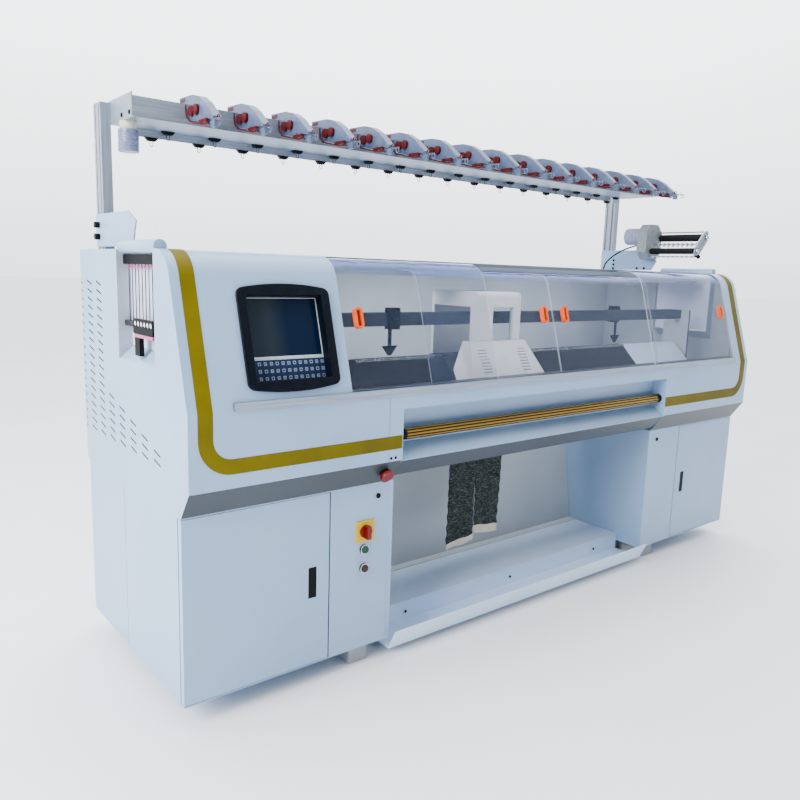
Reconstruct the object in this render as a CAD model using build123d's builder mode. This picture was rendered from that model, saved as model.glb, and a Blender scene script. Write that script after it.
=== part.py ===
"""Flat knitting machine with a 52 inch needle bed, in millimetres.

The floor is z = 0, the operator stands on the -Y side and the needle beds run along X.
"""

import os
from math import atan2, cos, hypot, radians, sin, tan

from build123d import *

os.makedirs("parts", exist_ok=True)

# Casing: overall size and the cross-section that the end covers, aprons and covers share.
machine_length = 2600.0
machine_depth = 776.0
hood_rise = 376.0
sleeper_height = 60.0
cabinet_height = 493.0
chamfer_rise = 70.0
apron_overhang = 49.0
apron_rise = 187.0
slope_angle = 16.2
brow_radius = 80.0
sheet = 3.0
end_cover_width = 115.0
console_width = 347.0
apron_lap = 12.0
cabinet_width = 645.0
cabinet_rear_inset = 19.0

end_x = machine_length / 2
front_y = -machine_depth / 2
rear_y = machine_depth / 2
sill_lip = 5.0
apron_y = front_y + sill_lip
cabinet_y = apron_y + apron_overhang
cabinet_rear_y = rear_y - cabinet_rear_inset
casing_z = sleeper_height + cabinet_height
apron_z = casing_z + chamfer_rise
sill_z = apron_z + apron_rise
casing_height = sill_z + hood_rise
slope = radians(slope_angle)
brow_y = apron_y + hood_rise * tan(slope)
chamfer_lean = atan2(apron_overhang, chamfer_rise)
cover_x = end_x - end_cover_width
console_x = -cover_x + console_width
bay_x = end_x - cabinet_width
running_gap = 0.4

# Cabinets, doors, front panels and their controls.
door_width = 424.0
door_depth = 18.0
door_recess = 22.5
door_gap = 4.0
column_width = 18.0
hinge_inset = 9.0
hinge_pin = 6.0
hinge_pin_length = 9.0
door_clearance = 1.5
seam_width = 2.5
seam_depth = 1.2
side_seam_run = 395.0
latch_width = 26.0
latch_height = 89.0
latch_edge = 40.0
latch_rise = 194.0
control_inset = 83.0
switch_drop = 137.0
start_drop = 55.0
stop_drop = 57.0
plug_drop = 40.0
plug_inset = 37.0
switch_plate = 62.0
switch_plate_thick = 4.0
knob_diameter = 38.0
knob_thick = 8.0
knob_grip = 13.0
knob_grip_depth = 14.0
knob_shaft = 10.0
button_diameter = 22.0
bezel_diameter = 30.0
bezel_depth = 5.0
button_proud = 9.0
button_stem = 6.0
plug_diameter = 15.0
plug_proud = 3.0
estop_inset = 43.0
estop_head = 40.0
estop_head_depth = 12.0
estop_stem = 20.0
estop_collar = 30.0
estop_collar_depth = 4.0
estop_travel = 5.0
estop_share = 0.5

door_x = -end_x + door_width
column_x = -bay_x - column_width
panel_low_z = sleeper_height + sheet
panel_high_z = casing_z - sheet
door_low_z = panel_low_z + door_clearance
door_high_z = panel_high_z - door_clearance
hinge_x = -end_x + hinge_inset
hinge_y = cabinet_y + hinge_inset
side_seam_y = cabinet_y + side_seam_run
latch_z = panel_low_z + latch_rise
control_x = column_x - control_inset
switch_z = casing_z - switch_drop
start_z = switch_z - start_drop
stop_z = start_z - stop_drop
plug_x = column_x - plug_inset
plug_z = casing_z - plug_drop
latch_x1 = door_x - latch_edge
latch_x0 = latch_x1 - latch_width
apron_inner_x = bay_x + apron_lap
estop_x = -apron_inner_x - estop_inset
estop_y = cabinet_y - apron_overhang * estop_share
estop_z = casing_z + chamfer_rise * estop_share

# Aprons, hand recess and operating bar.
apron_flange = 23.0
apron_seam_inset = 48.0
recess_ceiling_drop = 40.0
recess_height = 110.0
recess_depth = 59.0
recess_lip_drop = 3.0
recess_foot_rise = 12.0
foot_flange = 20.0
bar_diameter = 32.0
bar_inset = 29.0
bar_rise = 30.0
bar_pivot = 12.0
bar_end_gap = 2.0
stripe_width = 38.0
stripe_thick = 0.8
stripe_inset = 24.0
stripe_rise = 35.0
stripe_radius = 50.0
stripe_rear_gap = 2.0

recess_y = apron_y + recess_depth
recess_ceiling_z = sill_z - recess_ceiling_drop
recess_floor_z = recess_ceiling_z - recess_height
recess_lip_z = apron_z - recess_lip_drop
recess_foot_z = casing_z + recess_foot_rise
bar_y = apron_y + bar_inset
bar_z = recess_floor_z + bar_rise
stripe_z = apron_z + stripe_rise
apron_seam_x = -apron_inner_x - apron_seam_inset

# Sliding covers, their tracks and the console.
pane = 4.0
outer_depth = 5.0
track_step = 22.0
cover_lap = 24.0
cover_right_lap = 59.0
cover_meeting_x = 60.0
cover_meeting_gap = 4.0
cover_end_gap = 2.0
cover_rear_gap = 2.0
sill_rise = 16.0
sill_run = 50.0
ridge_rise = 5.0
ridge_front = 8.0
ridge_mid_inset = 22.0
ridge_mid_width = 13.0
ridge_rear_width = 4.0
rail_web_run = 129.0
rail_web_thick = 27.0
rail_lip = 25.0
rail_foot_drop = 46.0
rail_foot = 12.0
rail_mid_gap = 2.0
handle_width = 26.0
handle_height = 57.0
handle_depth = 14.0
handle_share = 0.56
handle_edge = 52.0
handle_rim = 6.0
handle_round = 10.0
handle_cup = 9.0
bezel_width = 267.0
bezel_height = 250.0
bezel_radius = 20.0
bezel_bulge = 13.0
bezel_thick = 8.0
bezel_share = 0.444
screen_inset = 177.5
window_width = 217.0
window_height = 216.0
tub_depth = 26.0
screen_thick = 4.0
keypad_height = 56.0
keypad_drop = 19.0

inner_depth = outer_depth + track_step
groove_z = sill_z + sill_rise
cover_low_z = groove_z + running_gap
cover_1_x = console_x - cover_lap
rail_web_y = brow_y + rail_web_run
rail_rear_y = rail_web_y + rail_web_thick
rail_lip_y = rail_web_y - rail_lip
cover_rear_y = rail_web_y - cover_rear_gap
ridge_mid_y = front_y + ridge_mid_inset
handle_z = sill_z + handle_share * hood_rise
bezel_z = sill_z + bezel_share * hood_rise
console_screen_x = -cover_x + screen_inset
cover_3_x = cover_meeting_x + cover_meeting_gap / 2
cover_width = (cover_x - cover_end_gap - cover_3_x + cover_right_lap) / 2
cover_2_x = cover_meeting_x - cover_meeting_gap / 2 - cover_width
cover_4_x = cover_x - cover_end_gap - cover_width

# Side openings, ventilation slits and yarn guides in them.
opening_run = 79.0
opening_width = 261.0
opening_depth = 40.0
ledge_rise = 85.0
ledge_climb = 34.0
slit_length = 44.0
slit_width = 2.6
slit_angle = 14.0
slit_pitch_y = 83.0
slit_rear_inset = 82.0
slit_rise = 37.0
slit_top_inset = 94.0
slit_rows = (19, 19, 6, 5, 4, 3, 2)
hood_diameter = 34.0
hood_inset = 19.0
hood_proud = 6.0
comb_height = 24.0
comb_width = 14.0
comb_drop = 38.0
comb_inset = 18.0
feed_bar_rise = 56.0
feed_bar_height = 14.0
feed_wire = 2.0
feed_wire_count = 10

opening_front_y = brow_y + opening_run
opening_rear_y = opening_front_y + opening_width
stripe_rear_y = opening_front_y - stripe_rear_gap
ledge_z = sill_z + ledge_rise
ledge_back_z = ledge_z + ledge_climb
slit_rear_y = rear_y - slit_rear_inset
slit_z = apron_z + slit_rise
slit_pitch_z = (casing_height - slit_top_inset - slit_z) / (max(slit_rows) - 1)
hood_z = casing_height + hood_proud
comb_z = casing_height - comb_drop
feed_bar_z = ledge_back_z + feed_bar_rise

# Bay, tray, base and take-down.
sleeper_width = 65.0
sleeper_inset = 515.0
sleeper_front_gap = 25.0
sleeper_rear_gap = 24.0
beam_width = 60.0
beam_front_gap = 150.0
beam_rear_gap = 143.0
shelf_rise = 30.0
shelf_front_gap = 115.0
shelf_depth = 257.0
tray_floor_z = 25.0
tray_lip_lean = 30.0
tray_lip_height = 63.0
liner_foot_lap = 43.0
liner_bend_lap = 9.0
liner_lean = 83.0
liner_rise = 87.0
roller_diameter = 60.0
roller_stub = 20.0
roller_offset = 38.0
roller_rise = 45.0
roller_end_gap = 8.0
fabric_thick = 2.0
fabric_left_x = -265.0
fabric_slit_x = -140.0
fabric_right_x = -10.0
fabric_slit_width = 4.0
fabric_top_drop = 17.0
fabric_slit_z = 440.0
fabric_left_rise = 100.0
fabric_left_fall = 20.0
fabric_right_rise = 125.0
fabric_right_fall = 18.0

sleeper_front_y = cabinet_y + sleeper_front_gap
sleeper_rear_y = cabinet_rear_y - sleeper_rear_gap
base_beam_front_y = cabinet_y + beam_front_gap
base_beam_rear_y = cabinet_rear_y - beam_rear_gap
shelf_z = sleeper_height + shelf_rise
shelf_front_y = cabinet_y + shelf_front_gap
shelf_rear_y = shelf_front_y + shelf_depth
tray_front_y = cabinet_y
tray_lip_y = tray_front_y - tray_lip_lean
tray_lip_z = tray_floor_z + tray_lip_height
liner_foot_y = shelf_rear_y - liner_foot_lap
liner_bend_y = shelf_rear_y - liner_bend_lap
liner_top_y = liner_bend_y + liner_lean
liner_top_z = casing_z + liner_rise
roller_z = casing_z + roller_rise
fabric_left_z = shelf_z + fabric_left_rise
fabric_right_z = shelf_z + fabric_right_rise

# Needle beds, carriage and yarn carriers.
bed_centre_run = 233.0
bed_gap = 10.0
bed_peak_rise = 75.0
bed_drop = 160.0
bed_thick = 25.0
bed_reach = 25.0
bed_foot_rise = 87.0
bed_slot = 50.0
bed_end_gap = 15.0
bed_beam_depth = 125.0
pedestal_thick = 30.0
cam_thick = 18.0
cam_foot = 27.0
cam_head = 25.0
carriage_left_x = -344.0
carriage_right_x = 7.0
carriage_taper = 48.0
cam_box_front_run = 180.0
cam_box_ridge_run = 112.0
cam_box_rear_run = 72.0
cam_box_low_drop = 105.0
cam_box_knee_drop = 70.0
cam_box_top_rise = 50.0
vent_count = 8
vent_length = 40.0
vent_width = 4.0
vent_pitch = 11.0
vent_depth = 5.0
vent_inset = 84.0
bridge_left_x = -255.0
bridge_right_x = -55.0
bridge_front_run = 98.0
bridge_rear_run = 130.0
bridge_wall = 12.0
bridge_top_drop = 91.0
bridge_crown = 20.0
bridge_skirt = 50.0
bridge_left_leg = 68.0
bridge_right_leg = 32.0
bridge_side_leg = 37.0
yarn_rail_thick = 8.0
yarn_rail_height = 40.0
yarn_rail_drop = 201.0
yarn_rail_offset = 18.0
yarn_rail_inset = 105.0
rail_bracket_thick = 10.0
rail_bracket_depth = 120.0
carrier_left_inset = 135.0
carrier_right_inset = 40.0
carrier_width = 40.0
carrier_skirt = 10.0
carrier_head = 16.0
carrier_cheek = 9.0
carrier_arm_width = 12.0
carrier_arm_thick = 4.0
carrier_tip_gap = 8.0
carrier_foot_width = 60.0
carrier_foot_height = 30.0
carrier_knob = 14.0
carrier_knob_length = 18.0

bed_centre_y = apron_y + bed_centre_run
bed_peak_z = sill_z + bed_peak_rise
bed_half_length = bay_x + bed_reach
bed_foot_z = casing_z + bed_foot_rise
roller_y = bed_centre_y + roller_offset
fabric_top_z = bed_peak_z - fabric_top_drop
cam_box_front_y = bed_centre_y - cam_box_front_run
cam_box_ridge_y = bed_centre_y - cam_box_ridge_run
cam_box_rear_y = bed_centre_y - cam_box_rear_run
cam_box_low_z = bed_peak_z - cam_box_low_drop
cam_box_knee_z = bed_peak_z - cam_box_knee_drop
cam_box_top_z = bed_peak_z + cam_box_top_rise
bridge_front_y = bed_centre_y - bridge_front_run
bridge_rear_y = bed_centre_y + bridge_rear_run
bridge_top_z = casing_height - bridge_top_drop
yarn_rail_z = casing_height - yarn_rail_drop
yarn_rail_x = cover_x - yarn_rail_inset
carrier_left_x = -bed_half_length + carrier_left_inset
carrier_right_x = bed_half_length - carrier_right_inset
carrier_low_z = yarn_rail_z - carrier_skirt
carrier_high_z = yarn_rail_z + yarn_rail_height + carrier_head
carrier_tip_z = bed_peak_z + carrier_tip_gap

# Yarn stand: posts, beam, tensioners, guides and lamp.
post_inset = 50.0
post_width = 30.0
post_depth = 60.0
post_rear_inset = 12.0
post_top_rise = 61.0
post_groove = 8.0
post_groove_depth = 6.0
post_groove_pitch = 30.0
beam_end_inset = 29.0
beam_depth = 180.0
stand_rise = 356.0
beam_rise = 57.0
beam_end_rise = 9.0
web_inset = 8.0
tensioner_count = 16
tensioner_inset_left = 175.0
tensioner_inset_right = 75.0
tensioner_thick = 26.0
tensioner_rise = 26.0
tensioner_hook = 60.0
tensioner_hook_drop = 20.0
tensioner_runs = (24.0, 64.0, 104.0, 140.0, 158.0)
tensioner_falls = (3.0, 12.0, 33.0, 62.0, 77.0)
tensioner_nose_height = 12.0
tensioner_chin = 134.0
tensioner_chin_drop = 18.0
tensioner_heel = 34.0
tensioner_heel_rise = 10.0
disc_diameter = 30.0
disc_thick = 9.0
disc_sides = 12
disc_rise = 35.0
disc_run = 27.0
disc_pitch = 32.0
arm_section = 4.0
arm_length = 116.0
arm_drop = 10.0
arm_run = 98.0
arm_rise = 1.0
arm_hub = 14.0
guide_width = 40.0
guide_depth = 14.0
guide_height = 10.0
guide_foot = 22.0
guide_row_inset = 24.0
guide_lead = 15.0
guide_stagger = 45.0
strip_drop = 21.0
strip_left_inset = 60.0
strip_right_inset = 100.0
lamp_x_inset = 18.0
lamp_base = 47.0
lamp_lens = 56.0
lamp_base_height = 22.0
lamp_lens_height = 60.0

post_x = end_x - post_inset
post_inner_x = post_x - post_width
post_rear_y = rear_y - post_rear_inset
post_front_y = post_rear_y - post_depth
beam_left_x = -post_inner_x
beam_right_x = end_x - beam_end_inset
beam_front_y = post_front_y - beam_depth
beam_z = casing_height + stand_rise
post_top_z = beam_z + post_top_rise
beam_top_z = beam_z + sheet
web_y = beam_front_y + web_inset
web_top_z = beam_z + beam_rise
tensioner_chin_z = beam_z - tensioner_chin_drop
tensioner_heel_z = beam_z + tensioner_heel_rise
disc_z = beam_z + disc_rise
arm_z = beam_z + arm_rise
tensioner_first_x = beam_left_x + tensioner_inset_left
tensioner_span = beam_right_x - tensioner_inset_right - tensioner_first_x
tensioner_pitch = tensioner_span / (tensioner_count - 1)
tensioner_xs = [tensioner_first_x + tensioner_pitch * i for i in range(tensioner_count)]

# Post brackets and the driven yarn feeder on the right post.
bracket_thick = 4.0
bracket_gap = 10.0
bracket_height = 94.0
left_bevel = 58.0
right_bevel = 72.0
left_bevel_rise = 28.0
right_bevel_rise = 50.0
bracket_heel = 28.0
left_bracket_reach = 274.0
right_bracket_reach = 256.0
bracket_knob = 18.0
bracket_knob_depth = 14.0
bracket_knob_rise = 29.0
bracket_knob_pitch = 34.0
gearbox_inset = 99.0
gearbox_width = 124.0
gearbox_run = 254.0
gearbox_depth = 50.0
gearbox_rise = 115.0
gearbox_drop = 45.0
gearbox_bevel = 34.0
motor_diameter = 78.0
motor_length = 90.0
motor_drop = 53.0
feed_upper_drop = 60.0
feed_spacing = 62.0
feed_upper_inset = 15.0
feed_lower_inset = 37.0
feed_upper_diameter = 32.0
feed_lower_diameter = 27.0
feed_roller_length = 215.0
feed_roller_gap = 6.0
feed_axle = 8.0
feed_axle_reach = 14.0
guide_bar_width = 10.0
guide_bar_thick = 6.0
guide_bar_offset = 22.0
link_thick = 8.0
link_width = 26.0
cable_diameter = 7.0
cable_x_shares = (1.0, 0.85, 0.62, 0.4, 0.2, 0.0)
cable_y_shares = (0.0, 0.33, 0.66, 0.86, 1.0, 0.98)
cable_z_shares = (1.0, 0.9, 0.67, 0.46, 0.22, 0.0)
cable_start_inset = 16.0
cable_end_outset = 4.0
cable_start_drop = 95.0
cable_reach = 175.0
fillet_share = 0.45

bracket_low_z = casing_height + bracket_gap
bracket_high_z = bracket_low_z + bracket_height
left_bracket_y = post_front_y - left_bracket_reach
right_bracket_y = post_front_y - right_bracket_reach
bracket_knob_z = bracket_low_z + bracket_knob_rise
gearbox_left_x = post_inner_x - gearbox_inset
gearbox_front_y = post_front_y - gearbox_run
gearbox_rear_y = gearbox_front_y + gearbox_depth
gearbox_top_z = bracket_high_z + gearbox_rise
motor_z = gearbox_top_z - motor_drop
gearbox_right_x = gearbox_left_x + gearbox_width
gearbox_low_z = bracket_high_z - gearbox_drop
motor_x = gearbox_left_x + gearbox_width / 2
feed_upper_x = gearbox_right_x - feed_upper_inset
feed_lower_x = gearbox_left_x + feed_lower_inset
feed_upper_z = gearbox_top_z - feed_upper_drop
feed_lower_z = feed_upper_z - feed_spacing
cable_start_x = gearbox_left_x + cable_start_inset
cable_end_x = gearbox_left_x - cable_end_outset
cable_start_z = gearbox_top_z - cable_start_drop


def block(x0, x1, y0, y1, z0, z1, mode=Mode.ADD):
    """Box between two corners."""
    with Locations(((x0 + x1) / 2, (y0 + y1) / 2, (z0 + z1) / 2)):
        Box(x1 - x0, y1 - y0, z1 - z0, mode=mode)


def prism_x(points, x0, x1, mode=Mode.ADD):
    """Closed (y, z) outline drawn out along X."""
    with BuildSketch(Plane.YZ.offset(x0)) as outline:
        with BuildLine():
            Polyline(*points, close=True)
        make_face()
    extrude(outline.sketch, amount=x1 - x0, mode=mode)


def prism_y(points, y0, y1, mode=Mode.ADD):
    """Closed (x, z) outline drawn out along Y."""
    with BuildSketch(Plane.XZ.offset(-y1)) as outline:
        with BuildLine():
            Polyline(*points, close=True)
        make_face()
    extrude(outline.sketch, amount=y1 - y0, mode=mode)


def rod_x(x0, x1, y, z, diameter, mode=Mode.ADD):
    """Round bar along X."""
    with Locations(Location((x0, y, z), (0, 90, 0))):
        Cylinder(diameter / 2, x1 - x0, align=(Align.CENTER, Align.CENTER, Align.MIN), mode=mode)


def rod_y(x, y0, y1, z, diameter, mode=Mode.ADD):
    """Round bar along Y."""
    with Locations(Location((x, y0, z), (-90, 0, 0))):
        Cylinder(diameter / 2, y1 - y0, align=(Align.CENTER, Align.CENTER, Align.MIN), mode=mode)


def rod_z(x, y, z0, z1, diameter, mode=Mode.ADD):
    """Round bar along Z."""
    with Locations((x, y, z0)):
        Cylinder(diameter / 2, z1 - z0, align=(Align.CENTER, Align.CENTER, Align.MIN), mode=mode)


def folded(points, thickness=sheet):
    """Outline of a sheet folded along (y, z) points, its thickness on the left of the path."""
    runs = [(b[0] - a[0], b[1] - a[1]) for a, b in zip(points, points[1:])]
    lefts = [(-dz / hypot(dy, dz), dy / hypot(dy, dz)) for dy, dz in runs]
    inner = []
    for i, (y, z) in enumerate(points):
        before = lefts[max(i - 1, 0)]
        after = lefts[min(i, len(lefts) - 1)]
        mitre = thickness / (1 + before[0] * after[0] + before[1] * after[1])
        inner.append((y + mitre * (before[0] + after[0]), z + mitre * (before[1] + after[1])))
    return list(points) + inner[::-1]


def slope_y(z, depth=0):
    """Depth below the skin of the sloped front, as y at height z."""
    return apron_y + (z - sill_z) * tan(slope) + depth / cos(slope)


def hood_points(depth, low_z, back_y):
    """Foot of the slope, brow corner and back edge of a line that lies depth below the skin."""
    top = casing_height - depth
    return (slope_y(low_z, depth), low_z), (slope_y(top, depth), top), (back_y, top)


def hood(depth, thickness, low_z, back_y, x0, x1):
    """Sheet that follows the sloped front and the rounded brow."""
    with BuildSketch(Plane.YZ.offset(x0)) as outline:
        with BuildLine():
            skin = FilletPolyline(*hood_points(depth, low_z, back_y), radius=brow_radius - depth)
            inside = depth + thickness
            back = FilletPolyline(*hood_points(inside, low_z, back_y), radius=brow_radius - inside)
            Line(skin @ 0, back @ 0)
            Line(skin @ 1, back @ 1)
        make_face()
    extrude(outline.sketch, amount=x1 - x0)


def casing(depth, x0, x1, mode=Mode.ADD):
    """Solid with the casing's cross-section, depth inside its skin."""
    knee = (apron_y + depth, sill_z - depth * tan(slope / 2))
    brow, back = hood_points(depth, sill_z, rear_y - depth)[1:]
    foot_z = casing_z + depth
    chin = (apron_y + depth, apron_z + depth * tan(chamfer_lean / 2))
    toe_y = apron_y + (apron_z - foot_z) * tan(chamfer_lean) + depth / cos(chamfer_lean)
    with BuildSketch(Plane.YZ.offset(x0)) as outline:
        with BuildLine():
            FilletPolyline(knee, brow, back, radius=brow_radius - depth)
            Polyline(back, (rear_y - depth, foot_z), (toe_y, foot_z), chin, knee)
        make_face()
    extrude(outline.sketch, amount=x1 - x0, mode=mode)


# Two sleepers on the floor and the two beams that join them.
with BuildPart() as base_frame:
    sleeper_x = end_x - sleeper_inset
    block(-sleeper_x, -sleeper_x + sleeper_width, sleeper_front_y, sleeper_rear_y, 0, sleeper_height)
    block(sleeper_x - sleeper_width, sleeper_x, sleeper_front_y, sleeper_rear_y, 0, sleeper_height)
    for beam_y in (base_beam_front_y, base_beam_rear_y):
        block(-sleeper_x, sleeper_x, beam_y, beam_y + beam_width, 0, sleeper_height)

# Left cabinet: a sheet box, open at the front behind its door, with a seam on the outer side.
with BuildPart() as left_cabinet:
    block(-end_x, -bay_x, cabinet_y, cabinet_rear_y, sleeper_height, casing_z)
    block(
        -end_x + sheet, -bay_x - sheet, cabinet_y, cabinet_rear_y - sheet,
        panel_low_z, panel_high_z, Mode.SUBTRACT,
    )
    block(-end_x, column_x, cabinet_y, cabinet_y + door_recess, panel_low_z, panel_high_z, Mode.SUBTRACT)
    block(column_x, -bay_x, cabinet_y, cabinet_y + sheet, panel_low_z, panel_high_z)
    block(
        -end_x, -end_x + seam_depth, side_seam_y, side_seam_y + seam_width,
        panel_low_z, panel_high_z, Mode.SUBTRACT,
    )
    rod_z(hinge_x, hinge_y, panel_low_z, panel_low_z + hinge_pin_length, hinge_pin)
    rod_z(hinge_x, hinge_y, panel_high_z - hinge_pin_length, panel_high_z, hinge_pin)

# Right cabinet, the mirror image of the left one.
with BuildPart() as right_cabinet:
    mirror(left_cabinet.part, about=Plane.YZ)

# Fixed front panels beside the doors, the left one drilled for the controls.
with BuildPart() as front_panels:
    panel_x = door_x + door_gap
    block(panel_x, column_x, cabinet_y, cabinet_y + sheet, panel_low_z, panel_high_z)
    block(-column_x, -panel_x, cabinet_y, cabinet_y + sheet, panel_low_z, panel_high_z)
    for drill_z, drill in ((switch_z, knob_shaft), (start_z, button_diameter), (stop_z, button_diameter)):
        rod_y(control_x, cabinet_y, cabinet_y + sheet, drill_z, drill + 2 * running_gap, Mode.SUBTRACT)

# Left door: a shallow pan with round holes for its pins and a slot for the latch.
with BuildPart() as left_door:
    door_back_y = cabinet_y + door_depth
    block(-end_x, door_x, cabinet_y, door_back_y, door_low_z, door_high_z)
    block(
        -end_x + sheet, door_x - sheet, cabinet_y + sheet, door_back_y,
        door_low_z + sheet, door_high_z - sheet, Mode.SUBTRACT,
    )
    block(latch_x0, latch_x1, cabinet_y, cabinet_y + sheet, latch_z, latch_z + latch_height, Mode.SUBTRACT)
    rod_z(hinge_x, hinge_y, door_low_z, door_high_z, hinge_pin + 2 * running_gap, Mode.SUBTRACT)

# Right door, hung on the right side.
with BuildPart() as right_door:
    mirror(left_door.part, about=Plane.YZ)

# Latch flap, level with the door's face.
with BuildPart() as left_latch:
    block(
        latch_x0 + running_gap, latch_x1 - running_gap, cabinet_y, cabinet_y + sheet,
        latch_z + running_gap, latch_z + latch_height - 2 * running_gap,
    )

# Latch flap of the right door.
with BuildPart() as right_latch:
    mirror(left_latch.part, about=Plane.YZ)

# Plates and rings round the controls: switch plate, two button rings, collar of the stop mushroom.
chamfer_out = (0, -cos(chamfer_lean), -sin(chamfer_lean))
estop_plane = Plane(origin=(estop_x, estop_y, estop_z), x_dir=(1, 0, 0), z_dir=chamfer_out)
with BuildPart() as control_collars:
    plate_half = switch_plate / 2
    block(
        control_x - plate_half, control_x + plate_half, cabinet_y - switch_plate_thick, cabinet_y,
        switch_z - plate_half, switch_z + plate_half,
    )
    shaft_hole = knob_shaft + 2 * running_gap
    rod_y(control_x, cabinet_y - switch_plate_thick, cabinet_y, switch_z, shaft_hole, Mode.SUBTRACT)
    for ring_z in (start_z, stop_z):
        rod_y(control_x, cabinet_y - bezel_depth, cabinet_y, ring_z, bezel_diameter)
        button_hole = button_diameter + 2 * running_gap
        rod_y(control_x, cabinet_y - bezel_depth, cabinet_y, ring_z, button_hole, Mode.SUBTRACT)
    with BuildSketch(estop_plane):
        Circle(estop_collar / 2)
        Circle(estop_stem / 2 + running_gap, mode=Mode.SUBTRACT)
    extrude(amount=estop_collar_depth)

# Turning grip of the main switch.
with BuildPart() as main_switch_knob:
    knob_back_y = cabinet_y - switch_plate_thick - running_gap
    rod_y(control_x, knob_back_y - knob_thick, knob_back_y, switch_z, knob_diameter)
    grip_half = knob_grip / 2
    block(
        control_x - grip_half, control_x + grip_half,
        knob_back_y - knob_thick - knob_grip_depth, knob_back_y - knob_thick,
        switch_z - knob_diameter / 2, switch_z + knob_diameter / 2,
    )
    rod_y(control_x, knob_back_y, cabinet_y + sheet, switch_z, knob_shaft)

# Start button.
with BuildPart() as start_button:
    rod_y(control_x, cabinet_y - button_proud, cabinet_y + button_stem, start_z, button_diameter)

# Stop button.
with BuildPart() as stop_button:
    rod_y(control_x, cabinet_y - button_proud, cabinet_y + button_stem, stop_z, button_diameter)

# Mushroom button on the chamfer under the left apron.
with BuildPart() as estop_button:
    with BuildSketch(estop_plane.offset(-sheet)):
        Circle(estop_stem / 2)
    extrude(amount=sheet + estop_collar_depth + estop_travel + running_gap)
    with BuildSketch(estop_plane.offset(estop_collar_depth + estop_travel + running_gap)):
        Circle(estop_head / 2)
    extrude(amount=estop_head_depth)

# Round plugs in the front panels.
with BuildPart() as panel_plugs:
    rod_y(plug_x, cabinet_y - plug_proud, cabinet_y, plug_z, plug_diameter)
    rod_y(-plug_x, cabinet_y - plug_proud, cabinet_y, plug_z, plug_diameter)

# Folded shelf and catch tray between the cabinets.
with BuildPart() as fabric_tray:
    tray_path = (
        (shelf_rear_y, shelf_z), (shelf_front_y, shelf_z), (shelf_front_y, tray_floor_z),
        (tray_front_y, tray_floor_z), (tray_lip_y, tray_lip_z),
    )
    prism_x(folded(tray_path), -bay_x, bay_x)

# Leaning back panel of the bay, its foot on the shelf.
with BuildPart() as bay_liner:
    liner_z = shelf_z + sheet
    liner_path = ((liner_top_y, liner_top_z), (liner_bend_y, liner_z), (liner_foot_y, liner_z))
    prism_x(folded(liner_path), -bay_x, bay_x)

# Left end cover: folded shell with the open yarn pocket in its top corner and rows of slits.
with BuildPart() as left_end_cover:
    pocket_x = -end_x + opening_depth
    casing(0, -end_x, -cover_x)
    casing(sheet, -end_x + sheet, -cover_x, Mode.SUBTRACT)
    pocket = (
        (-end_x, ledge_z), (pocket_x, ledge_back_z), (pocket_x, casing_height), (-end_x, casing_height),
    )
    pocket_wall = (
        (-end_x + sheet, ledge_z - sheet), (pocket_x, ledge_back_z - 2 * sheet),
        (pocket_x, casing_height - sheet), (-end_x + sheet, casing_height - sheet),
    )
    prism_y(pocket_wall, opening_front_y - sheet, opening_rear_y + sheet)
    prism_y(pocket, opening_front_y, opening_rear_y, Mode.SUBTRACT)
    with BuildSketch(Plane.YZ.offset(-end_x)) as slits:
        for column, rows in enumerate(slit_rows):
            column_y = slit_rear_y - column * slit_pitch_y
            with Locations(*[(column_y, slit_z + row * slit_pitch_z) for row in range(rows)]):
                Rectangle(slit_length, slit_width, rotation=slit_angle)
    extrude(slits.sketch, amount=sheet, mode=Mode.SUBTRACT)

# Right end cover, the mirror image of the left one.
with BuildPart() as right_end_cover:
    mirror(left_end_cover.part, about=Plane.YZ)

# Left apron: chamfer, upright face and top flange, drilled for the stop mushroom.
apron_path = (
    (apron_y + apron_flange, sill_z), (apron_y, sill_z), (apron_y, apron_z),
    (cabinet_y, casing_z), (cabinet_y + foot_flange, casing_z),
)
with BuildPart() as left_apron:
    prism_x(folded(apron_path), -cover_x, -apron_inner_x)
    with BuildSketch(estop_plane) as stem_hole:
        Circle(estop_stem / 2 + running_gap)
    extrude(stem_hole.sketch, amount=-2 * sheet, mode=Mode.SUBTRACT)
    block(
        apron_seam_x, apron_seam_x + seam_width, apron_y, apron_y + seam_depth, apron_z, sill_z, Mode.SUBTRACT
    )

# Right apron, of the same section.
with BuildPart() as right_apron:
    prism_x(folded(apron_path), apron_inner_x, cover_x)

# Centre apron with the hand recess and end plates that carry the operating bar.
with BuildPart() as center_apron:
    recess_path = (
        (apron_y + apron_flange, sill_z), (apron_y, sill_z), (apron_y, recess_ceiling_z),
        (recess_y, recess_ceiling_z), (recess_y, recess_floor_z), (apron_y, recess_lip_z),
        (cabinet_y, recess_foot_z), (cabinet_y + foot_flange, recess_foot_z),
    )
    prism_x(folded(recess_path), -apron_inner_x, apron_inner_x)
    recess_end = (
        (apron_y, recess_ceiling_z), (recess_y, recess_ceiling_z),
        (recess_y, recess_floor_z), (apron_y, recess_lip_z),
    )
    prism_x(recess_end, -apron_inner_x, -apron_inner_x + sheet)
    prism_x(recess_end, apron_inner_x - sheet, apron_inner_x)
    rod_x(-apron_inner_x, apron_inner_x, bar_y, bar_z, bar_pivot + 2 * running_gap, Mode.SUBTRACT)

# Operating bar across the front, on pivots in the recess ends.
with BuildPart() as operating_bar:
    bar_half = apron_inner_x - sheet - bar_end_gap
    rod_x(-bar_half, bar_half, bar_y, bar_z, bar_diameter)
    rod_x(-apron_inner_x, apron_inner_x, bar_y, bar_z, bar_pivot)

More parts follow.
